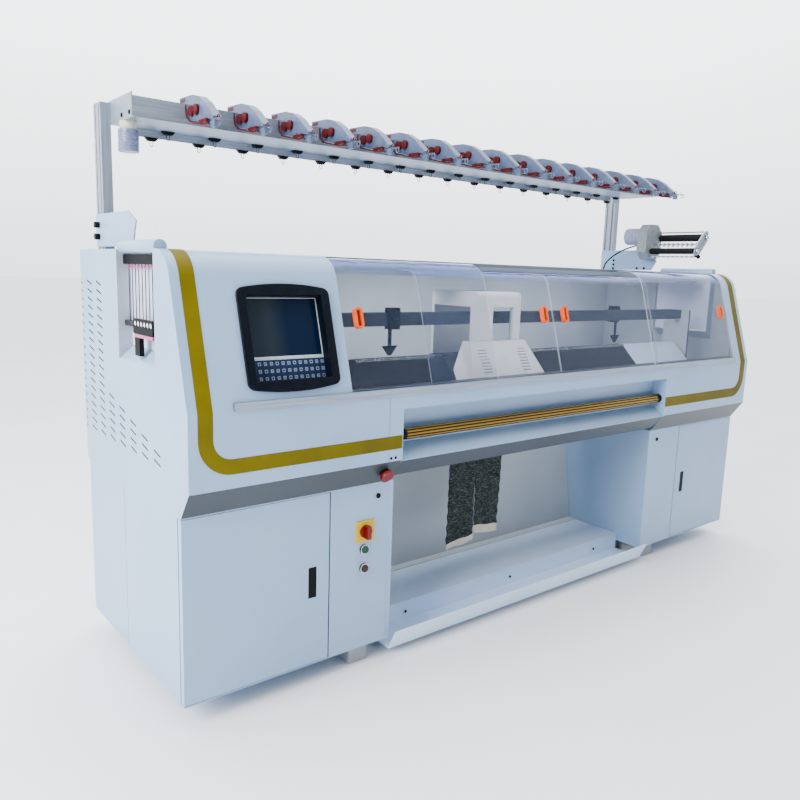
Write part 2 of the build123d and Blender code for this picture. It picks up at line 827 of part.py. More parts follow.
# Gold trim: down each end cover, round a corner and along the apron to the recess.
with BuildPart() as trim_stripes:
    stripe_x = -end_x + stripe_inset
    corner_x = stripe_x + stripe_width + stripe_radius
    corner_z = stripe_z + stripe_width + stripe_radius
    with BuildSketch(Plane.XZ.offset(-apron_y)) as band:
        with BuildLine():
            outer_radius = stripe_radius + stripe_width
            outside = RadiusArc((stripe_x, corner_z), (corner_x, stripe_z), -outer_radius)
            inside_start = (stripe_x + stripe_width, corner_z)
            inside = RadiusArc(inside_start, (corner_x, stripe_z + stripe_width), -stripe_radius)
            Polyline(outside @ 0, (stripe_x, sill_z), (stripe_x + stripe_width, sill_z), inside @ 0)
            stripe_end = (-apron_inner_x, stripe_z + stripe_width)
            Polyline(outside @ 1, (-apron_inner_x, stripe_z), stripe_end, inside @ 1)
        make_face()
    extrude(band.sketch, amount=stripe_thick)
    hood(-stripe_thick, stripe_thick, sill_z, stripe_rear_y, stripe_x, stripe_x + stripe_width)
    mirror(about=Plane.YZ)

# Console cover with the hole for the screen's tub.
slope_out = (0, -cos(slope), sin(slope))
screen_plane = Plane(origin=(console_screen_x, slope_y(bezel_z), bezel_z), x_dir=(1, 0, 0), z_dir=slope_out)
tub_width = window_width + 2 * sheet
tub_height = window_height + 2 * sheet
with BuildPart() as console_cover:
    hood(0, sheet, groove_z, rail_lip_y, -cover_x, console_x)
    with BuildSketch(screen_plane) as tub_hole:
        Rectangle(tub_width, tub_height)
    extrude(tub_hole.sketch, amount=-2 * sheet, mode=Mode.SUBTRACT)

# Screen bezel: rounded frame on the slope with a sleeve down to the display.
with BuildPart() as screen_bezel:
    half_wide = bezel_width / 2
    half_high = bezel_height / 2
    with BuildSketch(screen_plane) as frame_face:
        with BuildLine():
            Line((-half_wide, -half_high), (-half_wide, half_high))
            ThreePointArc((-half_wide, half_high), (0, half_high + bezel_bulge), (half_wide, half_high))
            Line((half_wide, half_high), (half_wide, -half_high))
            ThreePointArc((half_wide, -half_high), (0, -half_high - bezel_bulge), (-half_wide, -half_high))
        make_face()
        fillet(frame_face.vertices(), radius=bezel_radius)
    extrude(amount=bezel_thick)
    with BuildSketch(screen_plane):
        Rectangle(tub_width, tub_height)
    extrude(amount=-tub_depth)
    with BuildSketch(screen_plane.offset(-tub_depth)):
        Rectangle(window_width, window_height)
    extrude(amount=tub_depth + bezel_thick, mode=Mode.SUBTRACT)

# Display at the bottom of the sleeve and the key plate below it.
with BuildPart() as display_panel:
    with BuildSketch(screen_plane.offset(-tub_depth)):
        Rectangle(window_width, window_height)
    extrude(amount=screen_thick)
    with BuildSketch(screen_plane.offset(screen_thick - tub_depth)):
        with Locations((0, (keypad_height - window_height) / 2)):
            Rectangle(window_width, keypad_height)
    extrude(amount=tub_depth - screen_thick - keypad_drop)

# Sill strip with two grooves below, and the grooved top rail, for the sliding covers.
with BuildPart() as cover_tracks:
    sill_rear_y = front_y + sill_run
    ridge_z = groove_z + ridge_rise
    block(-cover_x, cover_x, front_y, sill_rear_y, sill_z, groove_z)
    block(-cover_x, cover_x, front_y, front_y + ridge_front, groove_z, ridge_z)
    block(-cover_x, cover_x, ridge_mid_y, ridge_mid_y + ridge_mid_width, groove_z, ridge_z)
    block(-cover_x, cover_x, sill_rear_y - ridge_rear_width, sill_rear_y, groove_z, ridge_z)
    rail_low_z = casing_height - rail_foot_drop
    outer_floor_z = casing_height - outer_depth - pane - rail_mid_gap
    inner_roof_z = casing_height - inner_depth + rail_mid_gap
    block(-cover_x, cover_x, rail_web_y, rail_rear_y, rail_low_z, casing_height)
    block(-cover_x, cover_x, rail_lip_y, rail_web_y, casing_height - sheet, casing_height)
    block(-cover_x, cover_x, rail_lip_y, rail_web_y, inner_roof_z, outer_floor_z)
    block(-cover_x, cover_x, rail_lip_y, rail_web_y, rail_low_z, rail_low_z + rail_foot)


def sliding_cover(depth, x0, handle_x):
    """Clear bent cover and the grip fixed on its slope, in the track depth below the skin."""
    hood(depth, pane, cover_low_z, cover_rear_y, x0, x0 + cover_width)
    grip_plane = Plane(
        origin=(handle_x, slope_y(handle_z, depth), handle_z), x_dir=(1, 0, 0), z_dir=slope_out
    )
    with BuildSketch(grip_plane) as grip:
        RectangleRounded(handle_width, handle_height, handle_round)
    extrude(grip.sketch, amount=handle_depth)
    with BuildSketch(grip_plane.offset(handle_depth - handle_cup)) as cup:
        RectangleRounded(
            handle_width - 2 * handle_rim, handle_height - 2 * handle_rim, handle_round - handle_rim
        )
    extrude(cup.sketch, amount=handle_cup, mode=Mode.SUBTRACT)


# Outer left cover.
with BuildPart() as sliding_cover_1:
    sliding_cover(outer_depth, cover_1_x, cover_1_x + handle_edge + cover_lap)

# Inner left cover.
with BuildPart() as sliding_cover_2:
    sliding_cover(inner_depth, cover_2_x, cover_2_x + cover_width - handle_edge)

# Inner right cover.
with BuildPart() as sliding_cover_3:
    sliding_cover(inner_depth, cover_3_x, cover_3_x + handle_edge)

# Outer right cover.
with BuildPart() as sliding_cover_4:
    sliding_cover(outer_depth, cover_4_x, cover_4_x + cover_width - handle_edge)

# Top and back panel between the end covers.
with BuildPart() as rear_cover:
    rear_path = ((rear_y, casing_z), (rear_y, casing_height), (rail_rear_y, casing_height))
    prism_x(folded(rear_path), -cover_x, cover_x)

# Two wedge beams under the needle beds, and the pedestals that carry them and the take-down roller.
bed_foot_y = bed_centre_y - bed_gap / 2 - bed_drop
bed_peak_y = bed_centre_y - bed_gap / 2
bed_under = bed_thick / cos(radians(45))


def both_beds(outline, x0, x1):
    """Front outline and its mirror image behind the centre line of the beds."""
    prism_x(outline, x0, x1)
    prism_x([(2 * bed_centre_y - y, z) for y, z in outline], x0, x1)


with BuildPart() as machine_bed:
    wedge_y = bed_centre_y - bed_slot / 2
    wedge_front_y = wedge_y - bed_beam_depth
    wedge_rise = bed_peak_z - bed_under - bed_peak_y
    wedge = (
        (wedge_front_y, bed_foot_z), (wedge_y, bed_foot_z), (wedge_y, wedge_y + wedge_rise),
        (wedge_front_y, wedge_front_y + wedge_rise),
    )
    both_beds(wedge, -bed_half_length, bed_half_length)
    pedestal_x = bed_half_length + pedestal_thick
    wedge_rear_y = 2 * bed_centre_y - wedge_front_y
    block(-pedestal_x, -bed_half_length, wedge_front_y, wedge_rear_y, casing_z, bed_foot_z + beam_width)
    block(bed_half_length, pedestal_x, wedge_front_y, wedge_rear_y, casing_z, bed_foot_z + beam_width)
    rod_x(-pedestal_x, pedestal_x, roller_y, roller_z, roller_stub + 2 * running_gap, Mode.SUBTRACT)

# Front and rear needle beds, sloping up to the gap where the fabric is formed.
with BuildPart() as needle_beds:
    plate = (
        (bed_foot_y, bed_peak_z - bed_drop), (bed_peak_y, bed_peak_z), (bed_peak_y, bed_peak_z - bed_under),
        (bed_foot_y, bed_peak_z - bed_drop - bed_under),
    )
    both_beds(plate, -bed_half_length, bed_half_length)

# White plates that carry the slope of the beds on, where the carriage turns back.
with BuildPart() as bed_ends:
    both_beds(plate, bed_half_length, yarn_rail_x - bed_end_gap)
    mirror(about=Plane.YZ)

# Take-down roller under the beds, on stubs in the pedestals.
with BuildPart() as take_down_roller:
    roller_half = bed_half_length - roller_end_gap
    rod_x(-roller_half, roller_half, roller_y, roller_z, roller_diameter)
    rod_x(-pedestal_x, pedestal_x, roller_y, roller_z, roller_stub)

# Knitted fabric that hangs from the beds, slit into two panels below.
with BuildPart() as knitted_fabric:
    slit_half = fabric_slit_width / 2
    fabric = (
        (fabric_left_x, fabric_left_z), (fabric_slit_x - slit_half, fabric_left_z + fabric_left_fall),
        (fabric_slit_x - slit_half, fabric_slit_z), (fabric_slit_x + slit_half, fabric_slit_z),
        (fabric_slit_x + slit_half, fabric_right_z + fabric_right_fall), (fabric_right_x, fabric_right_z),
        (fabric_right_x, fabric_top_z), (fabric_left_x, fabric_top_z),
    )
    prism_y(fabric, bed_peak_y, bed_peak_y + fabric_thick)

# Two rails for the yarn carriers, on brackets outside the carriage's travel.
with BuildPart() as yarn_rails:
    rail_top_z = yarn_rail_z + yarn_rail_height
    for rail_y in (bed_centre_y - yarn_rail_offset, bed_centre_y + yarn_rail_offset):
        rail_side = yarn_rail_thick / 2
        block(-yarn_rail_x, yarn_rail_x, rail_y - rail_side, rail_y + rail_side, yarn_rail_z, rail_top_z)
    for bracket_x in (-yarn_rail_x - rail_bracket_thick, yarn_rail_x):
        bracket_half = rail_bracket_depth / 2
        block(
            bracket_x, bracket_x + rail_bracket_thick,
            bed_centre_y - bracket_half, bed_centre_y + bracket_half, casing_z, rail_top_z,
        )

# Cam plates of the carriage, running over both beds.
cam_rise = bed_peak_z - bed_peak_y
cam_low = running_gap / cos(radians(45))
cam_high = cam_low + cam_thick / cos(radians(45))
cam_foot_y = bed_foot_y + cam_foot
cam_head_y = bed_peak_y - cam_head
with BuildPart() as carriage_cams:
    cam = (
        (cam_foot_y, cam_foot_y + cam_rise + cam_low), (cam_head_y, cam_head_y + cam_rise + cam_low),
        (cam_head_y, cam_head_y + cam_rise + cam_high), (cam_foot_y, cam_foot_y + cam_rise + cam_high),
    )
    both_beds(cam, carriage_left_x, carriage_right_x)

# White housing on the front cam plate, with tapered ends and vent slits.
with BuildPart() as carriage_cover:
    housing = (
        (cam_foot_y, cam_foot_y + cam_rise + cam_high), (cam_box_front_y, cam_box_low_z),
        (cam_box_front_y, cam_box_knee_z), (cam_box_ridge_y, cam_box_top_z), (cam_box_rear_y, cam_box_top_z),
        (cam_box_rear_y, cam_box_rear_y + cam_rise + cam_high),
    )
    prism_x(housing, carriage_left_x, carriage_right_x)
    for tip_x, taper in ((carriage_left_x, carriage_taper), (carriage_right_x, -carriage_taper)):
        wedge_end = ((tip_x, cam_box_knee_z), (tip_x + taper, cam_box_top_z), (tip_x, cam_box_top_z))
        prism_y(wedge_end, cam_box_front_y, cam_box_rear_y, Mode.SUBTRACT)
    front_run = cam_box_ridge_y - cam_box_front_y
    front_rise = cam_box_top_z - cam_box_knee_z
    vent_centre = (
        (carriage_left_x + carriage_right_x) / 2,
        (cam_box_front_y + cam_box_ridge_y) / 2,
        (cam_box_knee_z + cam_box_top_z) / 2,
    )
    with BuildSketch(Plane(origin=vent_centre, x_dir=(1, 0, 0), z_dir=(0, -front_rise, front_run))) as vents:
        with GridLocations(carriage_right_x - carriage_left_x - 2 * vent_inset, vent_pitch, 2, vent_count):
            Rectangle(vent_length, vent_width)
    extrude(vents.sketch, amount=-vent_depth, mode=Mode.SUBTRACT)

# Bridge that carries the rear cam plate over the yarn rails: crowned roof, rear wall, arched front and sides.
with BuildPart() as carriage_bridge:
    rear_cam_top = 2 * bed_centre_y + cam_rise + cam_high
    bridge_arch_z = bridge_top_z - bridge_skirt
    bridge_roof_z = bridge_top_z - bridge_wall
    bridge_back_y = bridge_rear_y - bridge_wall
    bridge_inner_y = bridge_front_y + bridge_wall
    with BuildSketch(Plane.YZ.offset(bridge_left_x)) as arch:
        with BuildLine():
            Polyline(
                (bridge_front_y, cam_box_top_z), (bridge_front_y, bridge_top_z),
                (bridge_rear_y, bridge_top_z), (bridge_rear_y, rear_cam_top - bridge_rear_y),
                (bridge_back_y, rear_cam_top - bridge_back_y), (bridge_back_y, bridge_roof_z),
                (bridge_inner_y, bridge_roof_z), (bridge_inner_y, cam_box_top_z), close=True,
            )
        make_face()
        fillet(arch.vertices().group_by(Axis.Y)[-1], radius=bridge_crown)
    extrude(arch.sketch, amount=bridge_right_x - bridge_left_x)
    block(
        bridge_left_x + bridge_left_leg, bridge_right_x - bridge_right_leg,
        bridge_front_y, bridge_inner_y, cam_box_top_z, bridge_arch_z, Mode.SUBTRACT,
    )
    side_y = bridge_front_y + bridge_side_leg
    side_frame = (
        (bridge_inner_y, cam_box_top_z), (bridge_inner_y, bridge_roof_z), (bridge_back_y, bridge_roof_z),
        (bridge_back_y, bridge_arch_z), (side_y, bridge_arch_z), (side_y, cam_box_top_z),
    )
    prism_x(side_frame, bridge_left_x, bridge_left_x + bridge_wall)
    prism_x(side_frame, bridge_right_x - bridge_wall, bridge_right_x)


def yarn_carrier(x, side):
    """Saddle on a yarn rail, arm with a funnel foot at the needles, knob; side is -1 at the front."""
    rail_y = bed_centre_y + side * yarn_rail_offset
    half_slot = yarn_rail_thick / 2 + running_gap
    half_saddle = half_slot + carrier_cheek
    half_width = carrier_width / 2
    block(
        x - half_width, x + half_width, rail_y - half_saddle, rail_y + half_saddle,
        carrier_low_z, carrier_high_z,
    )
    block(
        x - half_width, x + half_width, rail_y - half_slot, rail_y + half_slot,
        carrier_low_z, yarn_rail_z + yarn_rail_height + running_gap, Mode.SUBTRACT,
    )
    arm_y = sorted((rail_y - side * half_saddle, rail_y - side * (half_saddle - carrier_arm_thick)))
    half_arm = carrier_arm_width / 2
    block(x - half_arm, x + half_arm, *arm_y, carrier_tip_z, carrier_low_z)
    half_foot = carrier_foot_width / 2
    foot_z = carrier_tip_z + carrier_foot_height
    foot = (
        (x - half_foot, foot_z), (x + half_foot, foot_z),
        (x + half_arm, carrier_tip_z), (x - half_arm, carrier_tip_z),
    )
    prism_y(foot, *arm_y)
    knob_y = sorted((rail_y + side * half_saddle, rail_y + side * (half_saddle + carrier_knob_length)))
    rod_y(x, *knob_y, (carrier_low_z + carrier_high_z) / 2, carrier_knob)


# Yarn carrier on the front rail.
with BuildPart() as yarn_carrier_left:
    yarn_carrier(carrier_left_x, -1)

# Yarn carrier on the rear rail.
with BuildPart() as yarn_carrier_right:
    yarn_carrier(carrier_right_x, 1)

# Round hoods over the side openings.
with BuildPart() as side_feed_hoods:
    rod_y(-end_x + hood_inset, opening_front_y, opening_rear_y, hood_z, hood_diameter)
    mirror(about=Plane.YZ)

# Yarn comb under each hood, the lower tension bar and the wires between them.
with BuildPart() as side_feed_guides:
    comb_x = -end_x + comb_inset
    block(comb_x, comb_x + comb_width, opening_front_y, opening_rear_y, comb_z, comb_z + comb_height)
    feed_x = comb_x + comb_width / 2
    wire_low_z = feed_bar_z + feed_bar_height
    block(comb_x, comb_x + comb_width, opening_front_y, opening_rear_y, feed_bar_z, wire_low_z)
    wire_pitch = (opening_rear_y - opening_front_y) / (feed_wire_count + 1)
    for i in range(feed_wire_count):
        wire_y = opening_front_y + (i + 1) * wire_pitch
        wire_half = feed_wire / 2
        block(
            feed_x - wire_half, feed_x + wire_half, wire_y - wire_half, wire_y + wire_half, wire_low_z, comb_z
        )
    mirror(about=Plane.YZ)

# Extruded posts of the yarn stand.
with BuildPart() as yarn_stand_posts:
    block(-post_x, -post_inner_x, post_front_y, post_rear_y, casing_height, post_top_z)
    for groove_y in (post_front_y + post_groove_pitch / 2, post_front_y + post_groove_pitch * 3 / 2):
        for groove_x in (-post_x, -post_inner_x - post_groove_depth):
            block(
                groove_x, groove_x + post_groove_depth,
                groove_y - post_groove / 2, groove_y + post_groove / 2,
                casing_height, post_top_z, Mode.SUBTRACT,
            )
    mirror(about=Plane.YZ)

# Channel across the posts: bottom plate, front web, end plates and the guide strip hung from its rear edge.
with BuildPart() as yarn_beam:
    end_top_z = web_top_z + beam_end_rise
    block(beam_left_x, beam_right_x, beam_front_y, post_front_y, beam_z, beam_top_z)
    block(beam_left_x, beam_right_x, web_y, web_y + sheet, beam_top_z, web_top_z)
    block(beam_left_x, beam_left_x + sheet, web_y, post_rear_y, beam_z, end_top_z)
    block(beam_right_x - sheet, beam_right_x, web_y, post_front_y, beam_top_z, end_top_z)
    block(
        beam_left_x + strip_left_inset, beam_right_x - strip_right_inset, post_front_y - sheet, post_front_y,
        beam_z - strip_drop, beam_z,
    )

# Tensioner housings hooked over the web, one to each yarn.
with BuildPart() as tensioner_bodies:
    housing_top_z = web_top_z + tensioner_rise
    web_rear_y = web_y + sheet
    back = [(web_y - run, housing_top_z - fall) for run, fall in zip(tensioner_runs, tensioner_falls)]
    nose_y, nose_z = back[-1]
    body = (
        (web_rear_y + tensioner_hook, housing_top_z), *back, (nose_y, nose_z - tensioner_nose_height),
        (web_y - tensioner_chin, tensioner_chin_z), (web_y - tensioner_heel, tensioner_heel_z),
        (web_y, tensioner_heel_z), (web_y, web_top_z), (web_rear_y, web_top_z),
        (web_rear_y, web_top_z - tensioner_hook_drop),
        (web_rear_y + tensioner_hook, web_top_z - tensioner_hook_drop),
    )
    for unit_x in tensioner_xs:
        prism_x(body, unit_x - tensioner_thick / 2, unit_x + tensioner_thick / 2)

# Pairs of fluted tension discs on the left face of each housing.
with BuildPart() as tensioner_discs:
    for unit_x in tensioner_xs:
        disc_x = unit_x - tensioner_thick / 2
        with BuildSketch(Plane.YZ.offset(disc_x)) as discs:
            with Locations((web_y - disc_run, disc_z), (web_y - disc_run - disc_pitch, disc_z)):
                RegularPolygon(disc_diameter / 2, disc_sides)
        extrude(discs.sketch, amount=-disc_thick)

# Yarn take-up arms that swing beside the housings.
with BuildPart() as tension_arms:
    for unit_x in tensioner_xs:
        arm_x = unit_x - tensioner_thick / 2 - running_gap - arm_section
        arm_y = web_y - arm_run
        arm_half = arm_section / 2
        hub_half = arm_hub / 2
        tip_y = arm_y - arm_length
        tip_z = arm_z - arm_drop
        arm = (
            (arm_y + hub_half, arm_z), (arm_y, arm_z + hub_half), (arm_y - hub_half, arm_z + arm_half),
            (tip_y, tip_z + arm_half), (tip_y, tip_z - arm_half), (arm_y - hub_half, arm_z - arm_half),
            (arm_y, arm_z - hub_half),
        )
        prism_x(arm, arm_x, arm_x + arm_section)

# Tapered yarn guides in two staggered rows, under the beam's plate and under the guide strip.
with BuildPart() as yarn_guides:
    half_width = guide_width / 2
    half_foot = guide_foot / 2
    for row_y, lead, guide_high_z in (
        (post_front_y - guide_row_inset, guide_lead, beam_z),
        (post_front_y - guide_depth / 2, guide_lead + guide_stagger, beam_z - strip_drop),
    ):
        guide_low_z = guide_high_z - guide_height
        for unit_x in tensioner_xs:
            guide_x = unit_x - lead
            guide = (
                (guide_x - half_width, guide_high_z), (guide_x + half_width, guide_high_z),
                (guide_x + half_foot, guide_low_z), (guide_x - half_foot, guide_low_z),
            )
            prism_y(guide, row_y - guide_depth / 2, row_y + guide_depth / 2)

# Signal lamp hung under the left end of the beam: base.
lamp_x = beam_left_x + lamp_x_inset
lamp_y = (beam_front_y + post_front_y) / 2
with BuildPart() as signal_lamp_base:
    rod_z(lamp_x, lamp_y, beam_z - lamp_base_height, beam_z, lamp_base)

# Signal lamp: clear lens.
with BuildPart() as signal_lamp_lens:
    lens_top_z = beam_z - lamp_base_height
    rod_z(lamp_x, lamp_y, lens_top_z - lamp_lens_height, lens_top_z, lamp_lens)

# Bevelled bracket plates on the posts, the left one with two clamp knobs.
with BuildPart() as post_brackets:
    for plate_x, plate_y, bevel, bevel_rise in (
        (-post_x - bracket_thick, left_bracket_y, left_bevel, left_bevel_rise),
        (post_inner_x - bracket_thick, right_bracket_y, right_bevel, right_bevel_rise),
    ):
        plate_outline = (
            (post_rear_y, bracket_low_z), (post_rear_y, bracket_high_z), (plate_y + bevel, bracket_high_z),
            (plate_y, bracket_high_z - bevel_rise), (plate_y + bracket_heel, bracket_low_z),
        )
        prism_x(plate_outline, plate_x, plate_x + bracket_thick)
    knob_x = -post_x - bracket_thick
    knob_y = (post_front_y + post_rear_y) / 2
    for knob_z in (bracket_knob_z, bracket_knob_z + bracket_knob_pitch):
        rod_x(knob_x - bracket_knob_depth, knob_x, knob_y, knob_z, bracket_knob)

# Feeder drive: eight-sided gearbox held on the right bracket's front edge and the motor behind it.
feed_back_y = gearbox_front_y - feed_roller_gap
feed_front_y = feed_back_y - feed_roller_length
with BuildPart() as feeder_drive:
    gearbox = (
        (gearbox_left_x, gearbox_low_z + gearbox_bevel), (gearbox_left_x, gearbox_top_z - gearbox_bevel),
        (gearbox_left_x + gearbox_bevel, gearbox_top_z), (gearbox_right_x - gearbox_bevel, gearbox_top_z),
        (gearbox_right_x, gearbox_top_z - gearbox_bevel), (gearbox_right_x, gearbox_low_z + gearbox_bevel),
        (gearbox_right_x - gearbox_bevel, gearbox_low_z), (gearbox_left_x + gearbox_bevel, gearbox_low_z),
    )
    prism_y(gearbox, gearbox_front_y, gearbox_rear_y)
    block(
        post_inner_x - bracket_thick, post_inner_x, gearbox_front_y, gearbox_rear_y,
        bracket_low_z, bracket_high_z, Mode.SUBTRACT,
    )
    rod_y(motor_x, gearbox_rear_y, gearbox_rear_y + motor_length, motor_z, motor_diameter)
    for axle_x, axle_z in ((feed_upper_x, feed_upper_z), (feed_lower_x, feed_lower_z)):
        axle_back_y = gearbox_front_y + feed_axle_reach
        rod_y(axle_x, gearbox_front_y, axle_back_y, axle_z, feed_axle + 2 * running_gap, Mode.SUBTRACT)

# Three guide bars beside the rollers and the slanted link plate at their front end.
with BuildPart() as feeder_guide_bars:
    link_rear_y = feed_front_y - feed_roller_gap
    link_front_y = link_rear_y - link_thick
    link_half = link_width / 2
    link_reach = guide_bar_offset + guide_bar_thick
    link_low_z = feed_lower_z - link_reach
    link_high_z = feed_upper_z + link_reach
    link = (
        (feed_lower_x - link_half, link_low_z), (feed_lower_x + link_half, link_low_z),
        (feed_upper_x + link_half, feed_upper_z - link_half), (feed_upper_x + link_half, link_high_z),
        (feed_upper_x - link_half, link_high_z), (feed_lower_x - link_half, feed_lower_z + link_half),
    )
    prism_y(link, link_front_y, link_rear_y)
    half_bar = guide_bar_width / 2
    for bar_x, bar_z in (
        (feed_upper_x, feed_upper_z + guide_bar_offset),
        ((feed_upper_x + feed_lower_x) / 2, (feed_lower_z + feed_upper_z - guide_bar_thick) / 2),
        (feed_lower_x, link_low_z),
    ):
        block(
            bar_x - half_bar, bar_x + half_bar, link_rear_y, gearbox_front_y, bar_z, bar_z + guide_bar_thick,
        )
    for axle_x, axle_z in ((feed_upper_x, feed_upper_z), (feed_lower_x, feed_lower_z)):
        rod_y(axle_x, link_front_y, link_rear_y, axle_z, feed_axle + 2 * running_gap, Mode.SUBTRACT)


def feed_roller(x, z, diameter):
    """Roller along Y with thin axles that run in the gearbox and the link plate."""
    rod_y(x, feed_front_y, feed_back_y, z, diameter)
    axle_front_y = feed_front_y - feed_roller_gap - link_thick
    rod_y(x, axle_front_y, gearbox_front_y + feed_axle_reach - running_gap, z, feed_axle)


# Upper feeder roller.
with BuildPart() as feeder_roller_upper:
    feed_roller(feed_upper_x, feed_upper_z, feed_upper_diameter)

# Lower feeder roller.
with BuildPart() as feeder_roller_lower:
    feed_roller(feed_lower_x, feed_lower_z, feed_lower_diameter)

# Motor cable from the gearbox down to the top of the rear cover.
cable_end_z = casing_height + running_gap
cable_points = [
    Vector(
        cable_end_x + (cable_start_x - cable_end_x) * share_x,
        gearbox_rear_y + 2 * running_gap + cable_reach * share_y,
        cable_end_z + (cable_start_z - cable_end_z) * share_z,
    )
    for share_x, share_y, share_z in zip(cable_x_shares, cable_y_shares, cable_z_shares)
]
cable_runs = [b - a for a, b in zip(cable_points, cable_points[1:])]
cable_radii = [
    fillet_share * min(a.length, b.length) / tan(radians(a.get_angle(b)) / 2)
    for a, b in zip(cable_runs, cable_runs[1:])
]
print("motor cable radii, mm:", [round(radius, 1) for radius in cable_radii])
with BuildPart() as motor_cable:
    with BuildLine() as cable_path:
        FilletPolyline(*cable_points, radius=cable_radii)
    with BuildSketch(Plane(origin=cable_path.line @ 0, z_dir=cable_path.line % 0)):
        Circle(cable_diameter / 2)
    sweep()

# Every piece is written as its own file.
base_frame.part.label = "base_frame"
export_step(base_frame.part, "parts/base_frame.step")
left_cabinet.part.label = "left_cabinet"
export_step(left_cabinet.part, "parts/left_cabinet.step")
right_cabinet.part.label = "right_cabinet"
export_step(right_cabinet.part, "parts/right_cabinet.step")
front_panels.part.label = "front_panels"
export_step(front_panels.part, "parts/front_panels.step")
left_door.part.label = "left_door"
export_step(left_door.part, "parts/left_door.step")
right_door.part.label = "right_door"
export_step(right_door.part, "parts/right_door.step")
left_latch.part.label = "left_latch"
export_step(left_latch.part, "parts/left_latch.step")
right_latch.part.label = "right_latch"
export_step(right_latch.part, "parts/right_latch.step")
control_collars.part.label = "control_collars"
export_step(control_collars.part, "parts/control_collars.step")
main_switch_knob.part.label = "main_switch_knob"
export_step(main_switch_knob.part, "parts/main_switch_knob.step")
start_button.part.label = "start_button"
export_step(start_button.part, "parts/start_button.step")
stop_button.part.label = "stop_button"
export_step(stop_button.part, "parts/stop_button.step")
estop_button.part.label = "estop_button"
export_step(estop_button.part, "parts/estop_button.step")
panel_plugs.part.label = "panel_plugs"
export_step(panel_plugs.part, "parts/panel_plugs.step")
fabric_tray.part.label = "fabric_tray"
export_step(fabric_tray.part, "parts/fabric_tray.step")
bay_liner.part.label = "bay_liner"
export_step(bay_liner.part, "parts/bay_liner.step")
left_end_cover.part.label = "left_end_cover"
export_step(left_end_cover.part, "parts/left_end_cover.step")
right_end_cover.part.label = "right_end_cover"
export_step(right_end_cover.part, "parts/right_end_cover.step")
left_apron.part.label = "left_apron"
export_step(left_apron.part, "parts/left_apron.step")
right_apron.part.label = "right_apron"
export_step(right_apron.part, "parts/right_apron.step")
center_apron.part.label = "center_apron"
export_step(center_apron.part, "parts/center_apron.step")
operating_bar.part.label = "operating_bar"
export_step(operating_bar.part, "parts/operating_bar.step")
trim_stripes.part.label = "trim_stripes"
export_step(trim_stripes.part, "parts/trim_stripes.step")
console_cover.part.label = "console_cover"
export_step(console_cover.part, "parts/console_cover.step")
screen_bezel.part.label = "screen_bezel"
export_step(screen_bezel.part, "parts/screen_bezel.step")
display_panel.part.label = "display_panel"
export_step(display_panel.part, "parts/display_panel.step")
cover_tracks.part.label = "cover_tracks"
export_step(cover_tracks.part, "parts/cover_tracks.step")
sliding_cover_1.part.label = "sliding_cover_1"
export_step(sliding_cover_1.part, "parts/sliding_cover_1.step")
sliding_cover_2.part.label = "sliding_cover_2"
export_step(sliding_cover_2.part, "parts/sliding_cover_2.step")
sliding_cover_3.part.label = "sliding_cover_3"
export_step(sliding_cover_3.part, "parts/sliding_cover_3.step")
sliding_cover_4.part.label = "sliding_cover_4"
export_step(sliding_cover_4.part, "parts/sliding_cover_4.step")
rear_cover.part.label = "rear_cover"
export_step(rear_cover.part, "parts/rear_cover.step")
machine_bed.part.label = "machine_bed"
export_step(machine_bed.part, "parts/machine_bed.step")
needle_beds.part.label = "needle_beds"
export_step(needle_beds.part, "parts/needle_beds.step")
bed_ends.part.label = "bed_ends"
export_step(bed_ends.part, "parts/bed_ends.step")
take_down_roller.part.label = "take_down_roller"
export_step(take_down_roller.part, "parts/take_down_roller.step")
knitted_fabric.part.label = "knitted_fabric"
export_step(knitted_fabric.part, "parts/knitted_fabric.step")
yarn_rails.part.label = "yarn_rails"
export_step(yarn_rails.part, "parts/yarn_rails.step")
carriage_cams.part.label = "carriage_cams"
export_step(carriage_cams.part, "parts/carriage_cams.step")
carriage_cover.part.label = "carriage_cover"
export_step(carriage_cover.part, "parts/carriage_cover.step")
carriage_bridge.part.label = "carriage_bridge"
export_step(carriage_bridge.part, "parts/carriage_bridge.step")
yarn_carrier_left.part.label = "yarn_carrier_left"
export_step(yarn_carrier_left.part, "parts/yarn_carrier_left.step")
yarn_carrier_right.part.label = "yarn_carrier_right"
export_step(yarn_carrier_right.part, "parts/yarn_carrier_right.step")
side_feed_hoods.part.label = "side_feed_hoods"
export_step(side_feed_hoods.part, "parts/side_feed_hoods.step")
side_feed_guides.part.label = "side_feed_guides"
export_step(side_feed_guides.part, "parts/side_feed_guides.step")
yarn_stand_posts.part.label = "yarn_stand_posts"
export_step(yarn_stand_posts.part, "parts/yarn_stand_posts.step")
yarn_beam.part.label = "yarn_beam"
export_step(yarn_beam.part, "parts/yarn_beam.step")
tensioner_bodies.part.label = "tensioner_bodies"
export_step(tensioner_bodies.part, "parts/tensioner_bodies.step")
tensioner_discs.part.label = "tensioner_discs"
export_step(tensioner_discs.part, "parts/tensioner_discs.step")
tension_arms.part.label = "tension_arms"
export_step(tension_arms.part, "parts/tension_arms.step")
yarn_guides.part.label = "yarn_guides"
export_step(yarn_guides.part, "parts/yarn_guides.step")
signal_lamp_base.part.label = "signal_lamp_base"
export_step(signal_lamp_base.part, "parts/signal_lamp_base.step")
signal_lamp_lens.part.label = "signal_lamp_lens"
export_step(signal_lamp_lens.part, "parts/signal_lamp_lens.step")
post_brackets.part.label = "post_brackets"
export_step(post_brackets.part, "parts/post_brackets.step")
feeder_drive.part.label = "feeder_drive"
export_step(feeder_drive.part, "parts/feeder_drive.step")
feeder_guide_bars.part.label = "feeder_guide_bars"
export_step(feeder_guide_bars.part, "parts/feeder_guide_bars.step")
feeder_roller_upper.part.label = "feeder_roller_upper"
